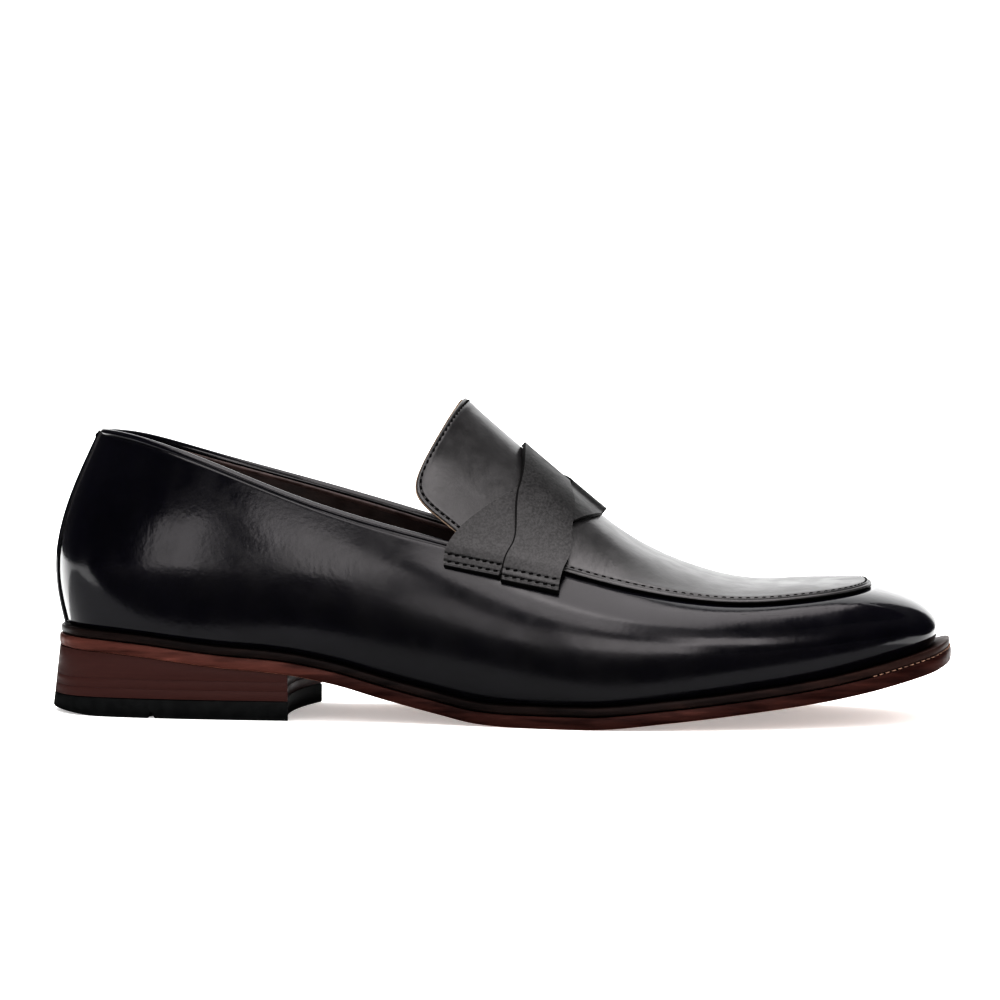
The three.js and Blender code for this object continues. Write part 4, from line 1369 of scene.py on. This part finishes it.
def towards(turn, rise, distance, start):
    """A place at a distance from a start. Turns are degrees from the outer side, towards the toe."""
    turn, rise = math.radians(turn), math.radians(rise)
    level = math.cos(rise)
    return Vector(start) + distance * Vector((
        math.sin(turn) * level, -math.cos(turn) * level, math.sin(rise),
    ))


def put(name, data, place, aim=None):
    """Puts a lamp or camera in the scene. It looks down unless it has an aim."""
    thing = bpy.data.objects.new(name, data)
    thing.location = place
    if aim:
        thing.rotation_euler = (Vector(place) - Vector(aim)).to_track_quat("Z", "Y").to_euler()
    bpy.context.scene.collection.objects.link(thing)
    return thing


def camera():
    data = bpy.data.cameras.new("camera")
    data.lens = LENS
    data.clip_start = 0.05
    place = towards(VIEW_TURN, VIEW_RISE, VIEW_DISTANCE, VIEW_CENTRE)
    bpy.context.scene.camera = put("camera", data, place, VIEW_CENTRE)


def area_light(name, width, height, energy):
    data = bpy.data.lights.new(name, "AREA")
    data.shape = "RECTANGLE"
    data.size, data.size_y = width, height
    data.energy = energy
    return data


WARM = (1, 0.955, 0.96)
SOFT_BORDER = ((1.3, 0.3), (1.0, 0.35), (0.7, 0.35))  # nested sizes, each with its share of the strength


def soft_light(name, place, aim, width, height, strength):
    """A softbox that only the shoe's gloss shows, brightest in its middle. Its energy grows with its area."""
    for step, (size, share) in enumerate(SOFT_BORDER):
        area = width * size * height * size
        data = area_light(f"{name}_{step}", width * size, height * size, 4 * strength * share * area)
        data.color = WARM
        put(data.name, data, place, aim).visible_diffuse = False


def ceiling_light():
    """The light from above that whitens the floor, which the shoe's gloss doesn't show."""
    lamp = put("ceiling_light", area_light("ceiling_light", 2.4, 1.6, 60), (0.0, 0.35, 2.2))
    lamp.visible_glossy = False


def stage_piece(name, vertices, material, faces=None, on_camera=False, shades=False):
    """A piece of the stage: one face round all its points, unless it has faces of its own."""
    mesh = bpy.data.meshes.new(name)
    mesh.from_pydata(vertices, [], faces or [tuple(range(len(vertices)))])
    mesh.materials.append(material)
    piece = bpy.data.objects.new(name, mesh)
    bpy.context.scene.collection.objects.link(piece)
    piece.visible_camera = on_camera
    piece.visible_diffuse = shades
    piece.visible_shadow = shades


def rectangle(x0, x1, y0, y1, z):
    return [(x0, y0, z), (x1, y0, z), (x1, y1, z), (x0, y1, z)]


def matt(name, color):
    look = Look(name, color, 0.9)
    look.roughen(0.85, 0.95, 300, 2)
    return look.material


def floor():
    look = Look("pale_floor", (0.9, 0.9, 0.895), 0.6, Emission_Strength=0.28)
    look.shader.inputs["Emission Color"].default_value = (1, 0.985, 0.975, 1)
    look.roughen(0.55, 0.65, 200, 2)
    stage_piece("floor", rectangle(-12, 12, -12, 12, 0), look.material, on_camera=True, shades=True)


SCREEN_RADIUS, SCREEN_HEIGHT = 2.4, 3.6
SCREEN_FROM, SCREEN_TO = -150, 156  # degrees from the outer side, towards the toe


def dark_screen():
    """The unlit side of the room behind the camera, dark at the floor and grey higher up."""
    look = Look("unlit_room", (0.02, 0.02, 0.022), 0.9)
    look.colors(look.axis("Z", 0, SCREEN_HEIGHT / MM), [
        (0.1, (0.006, 0.006, 0.008)), (0.9, (0.1, 0.1, 0.1)),
    ])
    turns = range(SCREEN_FROM, SCREEN_TO + 1, 5)
    low = [tuple(towards(turn, 0, SCREEN_RADIUS, (0, 0, 0))) for turn in turns]
    high = [(x, y, SCREEN_HEIGHT) for x, y, _ in low]
    count = len(low)
    wall = [(i, i + 1, count + i + 1, count + i) for i in range(count - 1)]
    stage_piece("screen", low + high, look.material, wall)


def dark_ceiling():
    stage_piece("ceiling", rectangle(-3.2, 3.2, -2.6, 1.2, 2.6), matt("unlit_ceiling", (0.03, 0.03, 0.032)))


def table_reflections():
    """What polished leather shows of the table, as painted shade: grey close to the shoe, black right round
    its welt for the welt's shadow, and dark further to the front.
    """
    front = [
        (x, y, 0.0006) for x, y in (
            (-0.165, -0.09), (-0.05, -0.075), (0.17, -0.075), (2.2, -0.7), (0, -2.4), (-2.2, -1.2),
        )
    ]
    under = [(x * MM, y * MM, 0.0008) for x, y, _ in plan_points(np.arange(0, STATIONS, 0.5), -8.0, 0)]
    # Each sheet's colour is painted shade on the table as the gloss shows it.
    for name, corners, shade in (
        ("table_in_shade", front, (0.01, 0.01, 0.011)),
        ("shadow_under_shoe", under, (0.002, 0.002, 0.002)),
        ("shaded_table_near_shoe", rectangle(-0.7, 0.2, -0.13, 0.1, 0.0004), (0.27, 0.27, 0.27)),
    ):
        stage_piece(name, corners, matt(name, shade))


def studio():
    """The white room, the floor, the dark shapes that the gloss shows and the lights."""
    scene = bpy.context.scene
    scene.world = bpy.data.worlds.new("studio")
    scene.world.use_nodes = True
    sky = scene.world.node_tree.nodes["Background"].inputs
    sky["Color"].default_value = (1, 1, 1, 1)
    sky["Strength"].default_value = 1.4
    scene.view_settings.view_transform = "Standard"
    scene.view_settings.look = "High Contrast"
    floor()
    dark_screen()
    dark_ceiling()
    table_reflections()
    heel_spot, ball_spot = (-0.1, -0.03, 0.055), (0.03, -0.045, 0.035)
    for name, aim, turn, rise, distance, width, height, strength in (
        ("softbox_left", heel_spot, -24.5, 5, 1.7, 0.22, 0.56, 5.2),
        ("softbox_blob", heel_spot, -12, 48, 1.8, 0.7, 0.75, 6.0),
        ("softbox_front", ball_spot, -0.5, 12, 1.7, 0.8, 0.46, 7.2),
        ("softbox_right", ball_spot, 23, 26, 1.7, 0.42, 0.36, 8.2),
        ("softbox_high", ball_spot, 12, 42, 2.0, 0.7, 0.5, 0.9),
    ):
        soft_light(name, towards(turn, rise, distance, aim), aim, width, height, strength)
    soft_light("softbox_over", (0.0, -0.35, 2.2), (0.0, -0.35, 0), 1.05, 1.7, 6.2)
    ceiling_light()


camera()
skirt()
quarter_lining()
vamp_lining()
stiffener("counter", "heel_counter", -COUNTER_END, COUNTER_END)
stiffener("puff", "toe_puff", TOE - PUFF_END, TOE + PUFF_END)
topline_roll()
apron_and_tongue()
tongue_lining()
band_piece("front_band", FRONT_BAND, "band_front")
band_piece("rear_band", REAR_BAND, "band_rear")
backstay()
welt()
outsole()
sock()
heel()
stitches(
    "apron_stitches", [rim_line(STITCH_INSET, lambda u: u > 5.9)], THREAD, pitch=2.7, length=1.7, radius=0.3,
)
stitches(
    "tongue_stitches", [rim_line(TONGUE_STITCH_INSET, lambda u: u < 5.7)], THREAD, pitch=2.3, length=1.6,
    radius=0.36, slant=0.25,
)
stitches(
    "backstay_stitches", backstay_stitch_lines(), THREAD, pitch=1.4, length=2.0, radius=0.3,
    slant=math.pi / 2,
)
stitches(
    "band_stitches", band_stitch_lines(FRONT_BAND) + band_stitch_lines(REAR_BAND), THREAD, pitch=2.5,
    length=1.6, radius=0.3, slant=0.35,
)
stitches("sole_stitches", [sole_stitch_line()], SOLE_THREAD, pitch=2.3, length=1.5, radius=0.2)
for node, slot in {
    "insole_board": "fibre_board", "cork_filler": "cork", "heel_pad": "foam", "shank": "steel",
    **{f"heel_nail_{i}": "steel" for i in range(1, 6)},
}.items():
    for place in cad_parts[node].material_slots:
        place.material = HIDDEN_LOOKS[slot]
studio()
